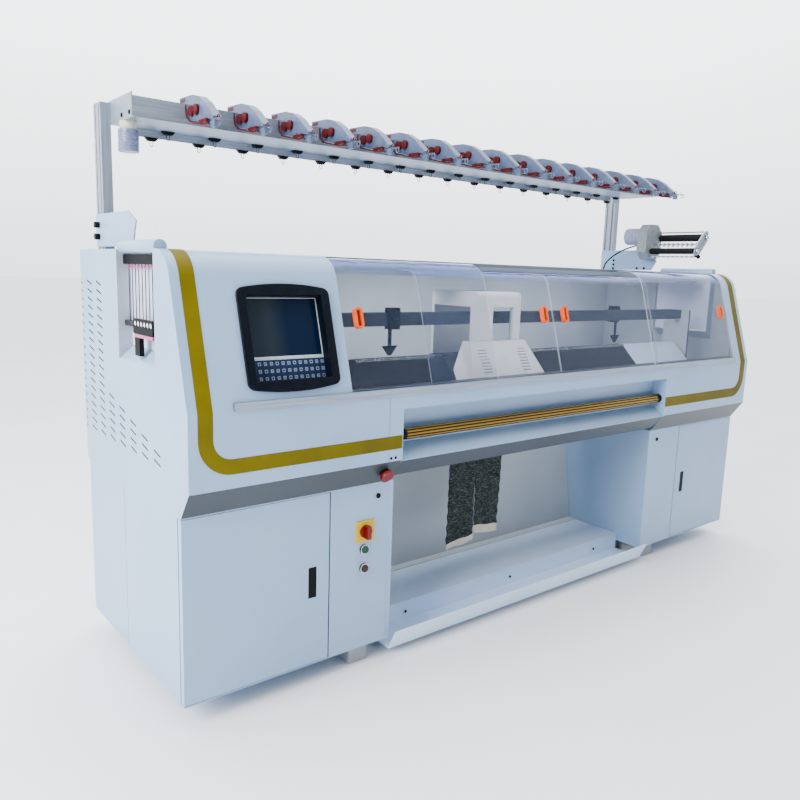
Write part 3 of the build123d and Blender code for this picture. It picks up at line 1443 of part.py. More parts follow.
export_step(feeder_roller_upper.part, "parts/feeder_roller_upper.step")
feeder_roller_lower.part.label = "feeder_roller_lower"
export_step(feeder_roller_lower.part, "parts/feeder_roller_lower.step")
motor_cable.part.label = "motor_cable"
export_step(motor_cable.part, "parts/motor_cable.step")
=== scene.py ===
"""Looks of a flat knitting machine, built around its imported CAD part."""

import math

import bmesh
import bpy
from mathutils import Matrix, Vector


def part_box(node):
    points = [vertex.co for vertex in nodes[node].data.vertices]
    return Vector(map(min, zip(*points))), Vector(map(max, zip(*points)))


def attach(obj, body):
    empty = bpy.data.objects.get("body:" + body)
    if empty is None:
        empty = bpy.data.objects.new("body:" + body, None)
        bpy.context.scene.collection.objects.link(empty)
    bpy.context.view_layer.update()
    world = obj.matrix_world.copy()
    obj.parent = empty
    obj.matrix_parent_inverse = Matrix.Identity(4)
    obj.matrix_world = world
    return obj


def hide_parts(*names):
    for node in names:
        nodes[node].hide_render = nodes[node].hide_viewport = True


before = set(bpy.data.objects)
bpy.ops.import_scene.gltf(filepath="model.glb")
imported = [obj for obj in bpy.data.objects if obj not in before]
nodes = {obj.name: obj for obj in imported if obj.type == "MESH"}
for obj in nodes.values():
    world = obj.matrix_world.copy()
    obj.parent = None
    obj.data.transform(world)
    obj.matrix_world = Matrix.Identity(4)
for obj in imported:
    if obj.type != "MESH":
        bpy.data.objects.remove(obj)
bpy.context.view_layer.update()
mm = 0.001


# Base frame: two sleepers and two beams of square steel tube on the floor, sprayed grey.
# The paint is a dull satin with a little dust, so it takes light evenly.
def linear(code):
    """Shader colour from an sRGB hex code."""
    channels = [int(code[i : i + 2], 16) / 255 for i in (1, 3, 5)]
    return [c / 12.92 if c <= 0.04045 else ((c + 0.055) / 1.055) ** 2.4 for c in channels] + [1.0]


def add(tree, kind, sockets=None, **properties):
    """Adds one shader node; a socket takes a plain value or another node's output."""
    node = tree.nodes.new("ShaderNode" + kind)
    for key, value in properties.items():
        setattr(node, key, value)
    for key, value in (sockets or {}).items():
        if isinstance(value, bpy.types.NodeSocket):
            tree.links.new(value, node.inputs[key])
        else:
            node.inputs[key].default_value = value
    return node


def finish(name, colour, roughness, **sockets):
    """New material with one principled shader; sockets name its other inputs with spaces as underscores."""
    material = bpy.data.materials.new(name)
    material.use_nodes = True
    tree = material.node_tree
    tree.nodes.clear()
    shader = add(tree, "BsdfPrincipled", {"Base Color": linear(colour), "Roughness": roughness})
    for key, value in sockets.items():
        shader.inputs[key.replace("_", " ")].default_value = value
    add(tree, "OutputMaterial", {"Surface": shader.outputs[0]})
    return material, tree, shader


def mottle(tree, shader, size, dark, light, rough=None, stretch=(1, 1, 1), bump=0.0, detail=3.0):
    """Drives colour, roughness and bump from a noise whose grains are size metres across."""
    place = add(tree, "Mapping", {"Vector": add(tree, "TexCoord").outputs["Object"], "Scale": stretch})
    noise = add(tree, "TexNoise", {"Vector": place.outputs[0], "Scale": 1 / size, "Detail": detail})
    ramp = add(tree, "ValToRGB", {0: noise.outputs[0]})
    ramp.color_ramp.elements[0].position = 0.3
    ramp.color_ramp.elements[1].position = 0.7
    ramp.color_ramp.elements[0].color = linear(dark)
    ramp.color_ramp.elements[1].color = linear(light)
    tree.links.new(ramp.outputs[0], shader.inputs["Base Color"])
    if rough:
        spread = add(tree, "MapRange", {0: noise.outputs[0], 3: rough[0], 4: rough[1]})
        tree.links.new(spread.outputs[0], shader.inputs["Roughness"])
    if bump:
        dent = add(tree, "Bump", {"Height": noise.outputs[0], "Distance": bump, "Strength": 0.6})
        tree.links.new(dent.outputs[0], shader.inputs["Normal"])
    return noise


def dress(name, *materials, bevel=0.0):
    """Gives a CAD node its materials and, if asked, rounds its edges."""
    node = nodes[name]
    node.data.materials.clear()
    for material in materials:
        node.data.materials.append(material)
    if bevel:
        weld = node.modifiers.new("joined_edges", "WELD")
        weld.merge_threshold = 0.02 * mm
        rounding = node.modifiers.new("rounded_edges", "BEVEL")
        rounding.width = bevel
        rounding.segments = 2
        rounding.limit_method = "ANGLE"
        rounding.harden_normals = True
    return node


frame_paint, tree, shader = finish("frame_paint", "#9AA0A6", 0.5)
mottle(tree, shader, 60 * mm, "#8F959B", "#A4AAB0", (0.42, 0.58), bump=0.1 * mm)
dress("base_frame", frame_paint, bevel=2 * mm)

# Cabinets, doors and front panels: 3 mm folded sheet steel, powder coated.
# The coat is a cool white with a faint orange peel that softens its highlights.
powder_coat, tree, shader = finish("white_powder_coat", "#8DAACB", 0.38, Coat_Weight=0.15, Coat_Roughness=0.3)
mottle(tree, shader, 350 * mm, "#87A5C7", "#94B1D0", (0.32, 0.44), bump=0.15 * mm, detail=8.0)
for name in ("left_cabinet", "right_cabinet", "front_panels", "left_door", "right_door"):
    dress(name, powder_coat, bevel=0.8 * mm)

# Door latches: black moulded flaps, level with the doors.
# The grain of the mould makes them a dull charcoal.
black_plastic, tree, shader = finish("black_moulded_plastic", "#08090B", 0.55, Specular_IOR_Level=0.1)
mottle(tree, shader, 3 * mm, "#050607", "#0B0C0E", (0.48, 0.62), bump=0.05 * mm)
for name in ("left_latch", "right_latch", "panel_plugs"):
    dress(name, black_plastic, bevel=0.6 * mm)

# Switch plate, button rings and mushroom collar: moulded plastic clipped through the panel.
# The plate is warning yellow, the rings are black with a pale face that catches the light.
yellow_plastic, tree, shader = finish("yellow_moulded_plastic", "#D5AE00", 0.45, Specular_IOR_Level=0.2)
mottle(tree, shader, 12 * mm, "#CDA600", "#DDB706", (0.4, 0.52))
pale_plastic, tree, shader = finish("pale_moulded_plastic", "#C3C8CD", 0.3)
mottle(tree, shader, 8 * mm, "#BBC0C6", "#CCD0D5", (0.25, 0.38))
collars = dress("control_collars", yellow_plastic, black_plastic, pale_plastic)
plate_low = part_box("main_switch_knob")[0].z - 20 * mm
plate_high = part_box("main_switch_knob")[1].z + 20 * mm
for face in collars.data.polygons:
    if not plate_low < face.center.z < plate_high:
        face.material_index = 2 if face.normal.y < -0.95 else 1

# Switch grip, buttons and emergency mushroom: glossy moulded plastic on steel shafts.
# The colour is deep with a clear gloss, paler where hands have rubbed it.
red_plastic, tree, shader = finish("red_gloss_plastic", "#680408", 0.35, Specular_IOR_Level=0.3)
mottle(tree, shader, 9 * mm, "#5E0306", "#730609", (0.3, 0.42))
green_plastic, tree, shader = finish("green_gloss_plastic", "#033D2C", 0.35, Specular_IOR_Level=0.3)
mottle(tree, shader, 9 * mm, "#023526", "#054534", (0.3, 0.42))
maroon_plastic, tree, shader = finish("maroon_gloss_plastic", "#32060F", 0.35, Specular_IOR_Level=0.3)
mottle(tree, shader, 9 * mm, "#2A040C", "#3A0812", (0.3, 0.42))
dress("main_switch_knob", red_plastic, bevel=1.5 * mm)
dress("start_button", green_plastic, bevel=1.5 * mm)
dress("stop_button", maroon_plastic, bevel=1.5 * mm)
dress("estop_button", red_plastic, bevel=2.5 * mm)

# Fabric bay: leaning back panel and folded catch tray, powder coated like the cabinets.
# The panel is painted greyer and lighter than the cabinets as painted light, as it stands behind the
# machine's front; the tray is painted lighter still, as painted light.
bay_coat_painted_light, tree, shader = finish("bay_powder_coat_painted_light", "#AEBAC4", 0.4)
mottle(tree, shader, 300 * mm, "#B2BDC6", "#BEC8D0", (0.34, 0.48), bump=0.15 * mm, detail=8.0)
dress("bay_liner", bay_coat_painted_light, bevel=0.8 * mm)
tray_coat_painted_light, tree, shader = finish("tray_powder_coat_painted_light", "#CFE2F5", 0.4)
mottle(tree, shader, 300 * mm, "#CBE3FF", "#D6EAFF", (0.34, 0.48), bump=0.15 * mm, detail=8.0)
dress("fabric_tray", tray_coat_painted_light, bevel=0.8 * mm)


def turned(work, place, profile, sides=20):
    """Adds a turned shape to a mesh: (radius, height) points round the place's local Z."""
    rings = []
    for radius, height in profile:
        ring = []
        for i in range(sides):
            angle = 2 * math.pi * i / sides
            spot = Vector((radius * math.cos(angle), radius * math.sin(angle), height))
            ring.append(work.verts.new(place @ spot))
        rings.append(ring)
    for lower, upper in zip(rings, rings[1:]):
        for i in range(sides):
            j = (i + 1) % sides
            work.faces.new((lower[i], lower[j], upper[j], upper[i]))
    work.faces.new(rings[0][::-1])
    work.faces.new(rings[-1])


def aimed(point, direction):
    """Placement at a point with local Z along a direction."""
    return Matrix.Translation(point) @ Vector(direction).to_track_quat("Z", "Y").to_matrix().to_4x4()


def piece(name, work, body, slot, *materials, smooth=True):
    """Turns a built mesh into a piece that rides on a body; the slot argument is not used."""
    bmesh.ops.recalc_face_normals(work, faces=work.faces)
    mesh = bpy.data.meshes.new(name)
    work.to_mesh(mesh)
    work.free()
    made = bpy.data.objects.new(name, mesh)
    bpy.context.collection.objects.link(made)
    for material in materials:
        mesh.materials.append(material)
    if smooth:
        mesh.shade_smooth()
        mesh.set_sharp_from_angle(angle=math.radians(35))
    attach(made, body)
    return made


# Bolts of the tray: three black button heads through its upright front.
tray_low, tray_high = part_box("fabric_tray")
bolt_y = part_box("fabric_tray")[0].y + 145 * mm
bolt_head = ((0.0, 3.2 * mm), (2.6 * mm, 3.0 * mm), (4.6 * mm, 1.8 * mm), (5.2 * mm, 0.0))
work = bmesh.new()
for share in (0.12, 0.5, 0.88):
    bolt_x = tray_low.x + share * (tray_high.x - tray_low.x)
    spot = aimed((bolt_x, bolt_y - 0.1 * mm, 0.055), (0, -1, 0))
    turned(work, spot, [(max(r, 0.1 * mm), h) for r, h in bolt_head[::-1]])
piece("tray_bolts", work, "machine", "black_plastic", black_plastic)

# Take-down roller: steel core with a ribbed rubber sleeve, on stubs in the pedestals.
# The rubber is a dusty black that shows the ribs as fine rings.
rubber, tree, shader = finish("ribbed_rubber", "#0E0F11", 0.65, Specular_IOR_Level=0.15)
mottle(tree, shader, 5 * mm, "#0A0B0D", "#131416", (0.58, 0.74), bump=0.2 * mm)
dress("take_down_roller", rubber)

# Knitted fabric: a wool marl with a cream waste edge, hung from the needles and slit below.
# Stitches run in fine ribs; flecks of white, green and black yarn break up the grey.
fabric_low, fabric_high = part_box("knitted_fabric")
stitch = 4.5 * mm  # drawn coarser than the real 2 mm so that the ribs show in the picture
knit, tree, shader = finish("wool_marl_knit", "#3F453F", 0.95, Sheen_Weight=0.08, Specular_IOR_Level=0.1)
coords = add(tree, "TexCoord").outputs["Object"]
flat_place = add(tree, "Mapping", {"Vector": coords, "Scale": (0.35, 1, 1)})
grain = {"Vector": flat_place.outputs[0], "Scale": 1 / stitch, "Detail": 4.0, "Roughness": 0.7}
flecks = add(tree, "TexNoise", grain)
marl = add(tree, "ValToRGB", {0: flecks.outputs[0]})
marl_stops = ((0.3, "#0D1216"), (0.45, "#22292A"), (0.56, "#39423F"), (0.66, "#565E5A"), (0.75, "#82877F"))
marl.color_ramp.elements.remove(marl.color_ramp.elements[1])
marl.color_ramp.elements[0].position = 0.0
marl.color_ramp.elements[0].color = linear(marl_stops[0][1])
for position, code in marl_stops:
    marl.color_ramp.elements.new(position).color = linear(code)
tree.links.new(marl.outputs[0], shader.inputs["Base Color"])
rows_of_stitches = {"Vector": coords, "Scale": 0.31 / stitch, "Distortion": 1.5}
courses = add(tree, "TexWave", rows_of_stitches, bands_direction="Z")
ribs = add(tree, "Bump", {"Height": courses.outputs["Fac"], "Distance": 1.2 * mm, "Strength": 0.8})
tree.links.new(ribs.outputs[0], shader.inputs["Normal"])
cream_edge, tree, shader = finish("cream_waste_edge", "#C9C3B2", 0.9, Sheen_Weight=0.2)
mottle(tree, shader, 6 * mm, "#B8B2A0", "#D5D0C2", (0.85, 0.95), bump=0.4 * mm)

fabric_y = (fabric_low.y + fabric_high.y) / 2
fabric_left, fabric_right = fabric_low.x, fabric_high.x
slit_x = fabric_left + 0.49 * (fabric_right - fabric_left)
slit_top = fabric_low.z + 250 * mm
slit_half = 2 * mm
hem = 26 * mm
panel_ends = {"left": fabric_low.z, "right": fabric_low.z + 25 * mm}
columns, rows = 18, 90
work = bmesh.new()
fabric_area = 0.0
for side, x0, x1 in (("left", fabric_left, slit_x), ("right", slit_x, fabric_right)):
    grid = []
    for r in range(rows + 1):
        line = []
        for c in range(columns + 1):
            u, v = c / columns, r / rows
            inner = u if side == "left" else 1 - u
            low_z = panel_ends[side] + (inner * 20 * mm if side == "left" else inner * 18 * mm)
            z = fabric_high.z + v * (low_z - fabric_high.z)
            open_share = min(max((slit_top - z) / (60 * mm), 0.0), 1.0)
            gap = slit_half * open_share * inner
            x = x0 + u * (x1 - x0) + (-gap if side == "left" else gap)
            free = min(max((0.60 - z) / 0.35, 0.0), 1.0)
            drape = 4 * mm * free * math.sin(26 * x + 9 * z) + 2.5 * mm * free * math.sin(61 * x - 14 * z)
            drape += 2.5 * mm * free * math.sin(150 * z + 2.5 * math.sin(33 * x))
            curl = min(max((low_z + 45 * mm - z) / (45 * mm), 0.0), 1.0)
            y = fabric_y + drape - 4 * mm * curl * curl
            line.append(work.verts.new((x, y, z)))
        grid.append(line)
    for r in range(rows):
        for c in range(columns):
            face = work.faces.new((grid[r][c], grid[r][c + 1], grid[r + 1][c + 1], grid[r + 1][c]))
            low_z = min(grid[rows][c].co.z, grid[rows][c + 1].co.z)
            face.material_index = 1 if face.calc_center_median().z < low_z + hem else 0
            fabric_area += face.calc_area()
bmesh.ops.remove_doubles(work, verts=work.verts, dist=0.01 * mm)
fabric = piece("hung_fabric", work, "machine", "knit", knit, cream_edge)
cloth = fabric.modifiers.new("cloth_thickness", "SOLIDIFY")
cloth.thickness = 1.6 * mm
cloth.offset = 0.0
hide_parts("knitted_fabric")

# End covers, aprons, console cover and rear cover: folded sheet, powder coated like the cabinets.
# Inside they are left in grey primer, and the sloped band under the aprons is coated grey as painted shade.
underside_shade_coat, tree, shader = finish("grey_coat_painted_shade", "#353D45", 0.42)
mottle(tree, shader, 250 * mm, "#2A3137", "#343C43", (0.36, 0.5), bump=0.15 * mm, detail=8.0)
primer, tree, shader = finish("grey_primer", "#A9B1BA", 0.6)
mottle(tree, shader, 200 * mm, "#929BA6", "#A5ADB6", (0.54, 0.68), detail=6.0)
# A near-black material for the slit walls and for the sheet behind the slits, as painted shade.
slit_shade_black, tree, shader = finish("black_painted_slit_shade", "#0C0E10", 0.95, Specular_IOR_Level=0.1)
mottle(tree, shader, 4 * mm, "#090B0D", "#121518", (0.9, 1.0), bump=0.3 * mm)

# End cover coat: the same powder coat, with painted shade that darkens a narrow rim round every slit.
# Slits stand 83 mm apart in leaning columns of 24 mm pitch; fewer to a column towards the front.
slit_rim_shade_coat, tree, shader = finish(
    "white_coat_painted_slit_shade", "#8DAACB", 0.38, Coat_Weight=0.15, Coat_Roughness=0.3
)
mottle(tree, shader, 350 * mm, "#87A5C7", "#94B1D0", (0.32, 0.44), bump=0.15 * mm, detail=8.0)
unshaded_colour = shader.inputs["Base Color"].links[0].from_socket
spot = add(tree, "SeparateXYZ", {0: add(tree, "TexCoord").outputs["Object"]})
slit_lean, rim = math.radians(14), (2.2 * mm, 3.4 * mm)
column_pitch, row_pitch, rear_column, first_row = 83 * mm, 24 * mm, 0.306, 0.660
forward = add(tree, "Math", {0: rear_column + column_pitch / 2, 1: spot.outputs["Y"]}, operation="SUBTRACT")
columns_in = add(tree, "Math", {0: forward.outputs[0], 1: column_pitch}, operation="DIVIDE")
part_in = add(tree, "Math", {0: columns_in.outputs[0]}, operation="FRACT")
from_middle = add(tree, "MapRange", {0: part_in.outputs[0], 3: -column_pitch / 2, 4: column_pitch / 2})
leaning = {0: from_middle.outputs[0], 1: math.tan(slit_lean), 2: spot.outputs["Z"]}
level = add(tree, "Math", leaning, operation="MULTIPLY_ADD")
risen = add(tree, "Math", {0: level.outputs[0], 1: first_row - row_pitch / 2}, operation="SUBTRACT")
rows_up = add(tree, "Math", {0: risen.outputs[0], 1: row_pitch}, operation="DIVIDE")
part_up = add(tree, "Math", {0: rows_up.outputs[0]}, operation="FRACT")
from_row = add(tree, "MapRange", {0: part_up.outputs[0], 3: -row_pitch / 2, 4: row_pitch / 2})
across = add(tree, "Math", {0: from_row.outputs[0]}, operation="ABSOLUTE")
along = add(tree, "Math", {0: from_middle.outputs[0]}, operation="ABSOLUTE")
near = add(tree, "MapRange", {0: across.outputs[0], 1: rim[0], 2: rim[1], 3: 1.0, 4: 0.0})
within = add(tree, "Math", {0: along.outputs[0], 1: 22.5 * mm * math.cos(slit_lean)}, operation="LESS_THAN")
slit_rows = (19, 19, 6, 5, 4, 3, 2, 0)
column_share = add(tree, "Math", {0: columns_in.outputs[0], 1: 1 / 8}, operation="MULTIPLY")
tops = add(tree, "ValToRGB", {0: column_share.outputs[0]})
tops.color_ramp.interpolation = "CONSTANT"
tops.color_ramp.elements.remove(tops.color_ramp.elements[1])
for i, count in enumerate(slit_rows):
    stop = tops.color_ramp.elements[0] if i == 0 else tops.color_ramp.elements.new(i / 8)
    stop.color = (count / 20, count / 20, count / 20, 1.0)
share_up = add(tree, "Math", {0: rows_up.outputs[0], 1: 0.05}, operation="MULTIPLY")
below_top = add(tree, "Math", {0: share_up.outputs[0], 1: tops.outputs[0]}, operation="LESS_THAN")
above_foot = add(tree, "Math", {0: rows_up.outputs[0], 1: 0.0}, operation="GREATER_THAN")
end_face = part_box("right_end_cover")[1].x - 0.5 * mm
outward = add(tree, "Math", {0: spot.outputs["X"]}, operation="ABSOLUTE")
on_end = add(tree, "Math", {0: outward.outputs[0], 1: end_face}, operation="GREATER_THAN")
mask = near.outputs[0]
for limit in (within, below_top, above_foot, on_end):
    mask = add(tree, "Math", {0: mask, 1: limit.outputs[0]}, operation="MULTIPLY").outputs[0]
# The rim round each slit is mixed towards near black, as painted shade.
slit_rim_painted_shade = add(tree, "Mix", {0: mask, 6: unshaded_colour, 7: linear("#1B2027")}, data_type="RGBA")
tree.links.new(slit_rim_painted_shade.outputs[2], shader.inputs["Base Color"])
middle = Vector((0.0, 0.0, 0.9))
shells = ("left_apron", "right_apron", "center_apron", "console_cover", "rear_cover")
for name in ("left_end_cover", "right_end_cover", *shells):
    shell = dress(name, slit_rim_shade_coat if "end_cover" in name else powder_coat, underside_shade_coat, primer, slit_shade_black)
    for face in shell.data.polygons:
        # Low faces that look down and forward take the grey coat, as painted shade.
        if face.normal.z < -0.3 and face.normal.y < -0.3 and face.center.z < 0.65:
            face.material_index = 1
        elif face.normal.dot(middle - face.center) > 0.05 and face.area > 2e-4 and "apron" not in name:
            face.material_index = 2
        # The slits' cut walls take the near-black material, as painted shade.
        elif "end_cover" in name and abs(face.normal.x) < 0.3 and face.area < 2e-4:
            if abs(face.center.x) > end_face - 2.5 * mm:
                face.material_index = 3

# Slit shade sheet: a black sheet behind the slits of each end cover, put there as painted shade that darkens
# the slits; grey primed on its inner face.


def as_drawn(x, y, z):
    """Point of the machine's own frame."""
    return Vector((x, y, z))


def slab(work, place, x0, x1, y0, y1, z0, z1):
    """Adds a box between two corners, each corner put through place."""
    corners = [work.verts.new(place(x, y, z)) for x in (x0, x1) for y in (y0, y1) for z in (z0, z1)]
    for a, b, c, d in ((0, 1, 3, 2), (4, 6, 7, 5), (0, 4, 5, 1), (2, 3, 7, 6), (0, 2, 6, 4), (1, 5, 7, 3)):
        work.faces.new((corners[a], corners[b], corners[c], corners[d]))


shade_sheet_outer = abs(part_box("left_end_cover")[0].x) - 7 * mm
shade_sheet_inner = shade_sheet_outer - 1.5 * mm
shade_sheet_foot, shade_sheet_top, shade_sheet_rear, shade_sheet_front = 0.600, 1.165, 0.365, -0.300
pocket_rear, pocket_foot = 0.095, 0.860
work = bmesh.new()
for side in (-1, 1):
    slab(work, as_drawn, side * shade_sheet_outer, side * shade_sheet_inner, pocket_rear, shade_sheet_rear, shade_sheet_foot, shade_sheet_top)
    rear_edge = pocket_rear - 0.5 * mm
    slab(work, as_drawn, side * shade_sheet_outer, side * shade_sheet_inner, shade_sheet_front, rear_edge, shade_sheet_foot, pocket_foot)
sheet = piece("slit_shade_sheet", work, "machine", "black_plastic", slit_shade_black, primer, smooth=False)
for face in sheet.data.polygons:
    if face.normal.x * face.center.x < -0.5 * abs(face.center.x):
        face.material_index = 1

# Apron screws: two small black heads at the left end of the hand recess.
apron_low, apron_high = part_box("left_apron")
work = bmesh.new()
for offset in (22 * mm, 38 * mm):
    spot = aimed((apron_high.x - offset, apron_low.y + 0.1 * mm, apron_low.z + 80 * mm), (0, -1, 0))
    turned(work, spot, [(max(0.8 * r, 0.1 * mm), 0.7 * h) for r, h in bolt_head[::-1]])
piece("apron_screws", work, "machine", "black_plastic", black_plastic)

# Operating bar: drawn brass tube with fine flutes, capped at its ends and hung on pivots.
# The polish gives long warm streaks, lighter and browner by turns.
gold_tube, tree, shader = finish("polished_brass_tube", "#6E5212", 0.2, Metallic=1.0)
mottle(tree, shader, 40 * mm, "#735818", "#A38030", (0.14, 0.26), stretch=(0.05, 1, 1))
dress("operating_bar", black_plastic)
bar_low, bar_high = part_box("operating_bar")
bar_y = (bar_low.y + bar_high.y) / 2
bar_z = (bar_low.z + bar_high.z) / 2
bar_radius = (bar_high.z - bar_low.z) / 2
bar_half = bar_high.x - 30 * mm
flutes, flute_points = 10, 120
work = bmesh.new()
ends = []
for x in (-bar_half, bar_half):
    ring = []
    for i in range(flute_points):
        angle = 2 * math.pi * i / flute_points
        radius = bar_radius + 1.0 * mm * math.cos(flutes * angle)
        ring.append(work.verts.new((x, bar_y + radius * math.cos(angle), bar_z + radius * math.sin(angle))))
    ends.append(ring)
for i in range(flute_points):
    j = (i + 1) % flute_points
    work.faces.new((ends[0][i], ends[0][j], ends[1][j], ends[1][i]))
work.faces.new(ends[0][::-1])
work.faces.new(ends[1])
piece("operating_bar_sleeve", work, "operating_bar", "gold_tube", gold_tube)

# Trim stripes: gold film laid on the covers.
# The film is an olive gold with a satin sheen.
gold_film, tree, shader = finish("gold_trim_film", "#615600", 0.55, Specular_IOR_Level=0.12)
mottle(tree, shader, 120 * mm, "#584F00", "#6B5F00", (0.5, 0.62))
dress("trim_stripes", gold_film)

# Screen bezel: moulded frame on the console with a sleeve down to the display.
# A near-black navy gloss that mirrors the room softly.
bezel_plastic, tree, shader = finish("navy_gloss_plastic", "#040912", 0.35, Specular_IOR_Level=0.12)
mottle(tree, shader, 25 * mm, "#02060E", "#060C18", (0.3, 0.42))
dress("screen_bezel", bezel_plastic, bevel=2 * mm)

# Display and key plate: glass screen over a printed membrane with rows of keys.
# The screen is a dark slate that turns bluer to the right; the membrane is a matt slate blue.
slope = math.radians(16.2)
screen_up = Vector((0, math.sin(slope), math.cos(slope)))
screen_out = Vector((0, -math.cos(slope), math.sin(slope)))
screen_glass, tree, shader = finish("switched_off_screen", "#06122B", 0.12, Specular_IOR_Level=0.1)
mottle(tree, shader, 120 * mm, "#08203F", "#2B353D", (0.08, 0.16), detail=1.0)
panel_low, panel_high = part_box("display_panel")
across = add(tree, "SeparateXYZ", {0: add(tree, "TexCoord").outputs["Object"]}).outputs["X"]
share = add(tree, "MapRange", {0: across, 1: panel_low.x, 2: panel_high.x})
slate = add(tree, "ValToRGB", {0: share.outputs[0]})
slate.color_ramp.elements[0].position = 0.33
slate.color_ramp.elements[0].color = linear("#222B33")
slate.color_ramp.elements[1].position = 0.55
slate.color_ramp.elements[1].color = linear("#07182F")
tree.links.new(slate.outputs[0], shader.inputs["Base Color"])
membrane, tree, shader = finish("blue_key_membrane", "#1A2641", 0.55, Specular_IOR_Level=0.1)
mottle(tree, shader, 15 * mm, "#16213A", "#1E2C48", (0.48, 0.62))
display = dress("display_panel", screen_glass, membrane)
panel_mid = (panel_low + panel_high) / 2
heights = [(face.center - panel_low).dot(screen_up) for face in display.data.polygons]
key_height = 56 * mm
for face, height in zip(display.data.polygons, heights):
    face.material_index = 1 if height < key_height + 1 * mm else 0

# Screen edging and keys: a pale strip round the glass and three rows of printed key marks.
silver_edge, tree, shader = finish("pale_screen_edging", "#AEB7BD", 0.35)
mottle(tree, shader, 10 * mm, "#A3ADB4", "#BAC2C7", (0.3, 0.42))
key_ink, tree, shader = finish("pale_key_print", "#7A8DAB", 0.5)
mottle(tree, shader, 4 * mm, "#6F83A2", "#8496B4", (0.45, 0.6))


def on_screen(across, up, out):
    """Point on the display: across and up from the middle of its lower edge, out from the glass."""
    foot = Vector((panel_mid.x, glass_foot.y, glass_foot.z))
    return foot + Vector((across, 0, 0)) + up * screen_up + out * screen_out


outward_faces = [face for face in display.data.polygons if face.normal.dot(screen_out) > 0.9]
glass_face = max(outward_faces, key=lambda face: face.area)
glass_out = glass_face.center.dot(screen_out)
plate_out = max(face.center.dot(screen_out) for face in display.data.polygons)
panel_width = panel_high.x - panel_low.x
low_up = min((Vector(v.co)).dot(screen_up) for v in display.data.vertices)
high_up = max((Vector(v.co)).dot(screen_up) for v in display.data.vertices)
glass_foot = low_up * screen_up + glass_out * screen_out
plate_rise = plate_out - glass_out
half = panel_width / 2 - 0.5 * mm
edge = 2.4 * mm
total_up = high_up - low_up
work = bmesh.new()
slab(work, on_screen, -half, half, key_height + 0.5 * mm, key_height + 9 * mm, 0.2 * mm, 1.5 * mm)
slab(work, on_screen, -half, half, total_up - edge, total_up - 0.5 * mm, 0.2 * mm, 1.5 * mm)
side_foot, side_top = key_height + 9.5 * mm, total_up - edge - 0.5 * mm
slab(work, on_screen, -half, -half + edge, side_foot, side_top, 0.2 * mm, 1.5 * mm)
slab(work, on_screen, half - edge, half, side_foot, side_top, 0.2 * mm, 1.5 * mm)
piece("screen_edging", work, "machine", "display", silver_edge, smooth=False)
key_columns, key_rows = 13, 3
key_size = 8.5 * mm
key_line = 1.6 * mm
work = bmesh.new()
for r in range(key_rows):
    for c in range(key_columns):
        x = (c + 0.5) * panel_width / key_columns - panel_width / 2
        y = (r + 0.5) * key_height / key_rows
        inner = key_size / 2 - key_line
        outer = key_size / 2
        z0, z1 = plate_rise + 0.15 * mm, plate_rise + 0.6 * mm
        slab(work, on_screen, x - outer, x + outer, y + inner, y + outer, z0, z1)
        slab(work, on_screen, x - outer, x + outer, y - outer, y - inner, z0, z1)
        slab(work, on_screen, x - outer, x - inner, y - inner, y + inner, z0, z1)
        slab(work, on_screen, x + inner, x + outer, y - inner, y + inner, z0, z1)
        if (r + c) % 3:
            slab(work, on_screen, x - inner / 2, x + inner / 2, y - inner / 2, y + inner / 4, z0, z1)
piece("key_marks", work, "machine", "display", key_ink, smooth=False)

# Cover tracks: drawn stainless sill and top rail, screwed to the aprons.
# Fine lengthwise drawing lines stretch the highlights along the machine; a blue tint in the steel is a
# painted reflection of the sky.
stainless, tree, shader = finish("drawn_stainless_painted_blue_reflection", "#9EA4AA", 0.34, Metallic=1.0)
mottle(tree, shader, 3 * mm, "#7F8C9C", "#9DA9B6", (0.28, 0.42), stretch=(0.02, 1, 1))
dress("cover_tracks", stainless)

# Sliding covers: 4 mm clear acrylic bent over the brow, each with a moulded orange grip.
# The acrylic lets most light through and shows a painted reflection, stronger at a flat angle, with a painted
# reflection of the sky in blue streaks on the brow; the grips are a bright satin orange.
acrylic, tree, shader = finish("clear_acrylic", "#62759A", 0.06)
facing = add(tree, "LayerWeight", {"Blend": 0.15})
veil = add(tree, "MapRange", {0: facing.outputs["Facing"], 3: 0.02, 4: 0.6})
coords = add(tree, "TexCoord").outputs["Object"]
upward = add(tree, "SeparateXYZ", {0: add(tree, "NewGeometry").outputs["Normal"]}).outputs["Z"]
bend = add(tree, "MapRange", {0: upward, 1: 0.4, 2: 0.9})
# Upward faces of the brow take a bluer colour, as painted reflection of the sky.
sky = add(tree, "ValToRGB", {0: bend.outputs[0]})
sky.color_ramp.elements[0].color = linear("#62759A")
sky.color_ramp.elements[1].color = linear("#2B519C")
tree.links.new(sky.outputs[0], shader.inputs["Base Color"])
lengthwise = add(tree, "Mapping", {"Vector": coords, "Scale": (0.08, 1, 1)})
streaks = add(tree, "TexNoise", {"Vector": lengthwise.outputs[0], "Scale": 1 / (25 * mm), "Detail": 3.0})
shine = add(tree, "MapRange", {0: streaks.outputs[0], 1: 0.35, 2: 0.65, 3: 0.3, 4: 0.65})
mirrored = add(tree, "Math", {0: shine.outputs[0], 1: bend.outputs[0]}, operation="MULTIPLY")
cover = add(tree, "Math", {0: veil.outputs[0], 1: mirrored.outputs[0]}, operation="ADD", use_clamp=True)
tree.links.new(cover.outputs[0], shader.inputs["Alpha"])
haze = add(tree, "TexNoise", {"Vector": coords, "Scale": 1 / (200 * mm)})
smear = add(tree, "MapRange", {0: haze.outputs[0], 3: 0.03, 4: 0.1})
tree.links.new(smear.outputs[0], shader.inputs["Roughness"])
acrylic_edge, tree, shader = finish("sawn_acrylic_edge", "#CAD5E2", 0.3, Alpha=0.35)
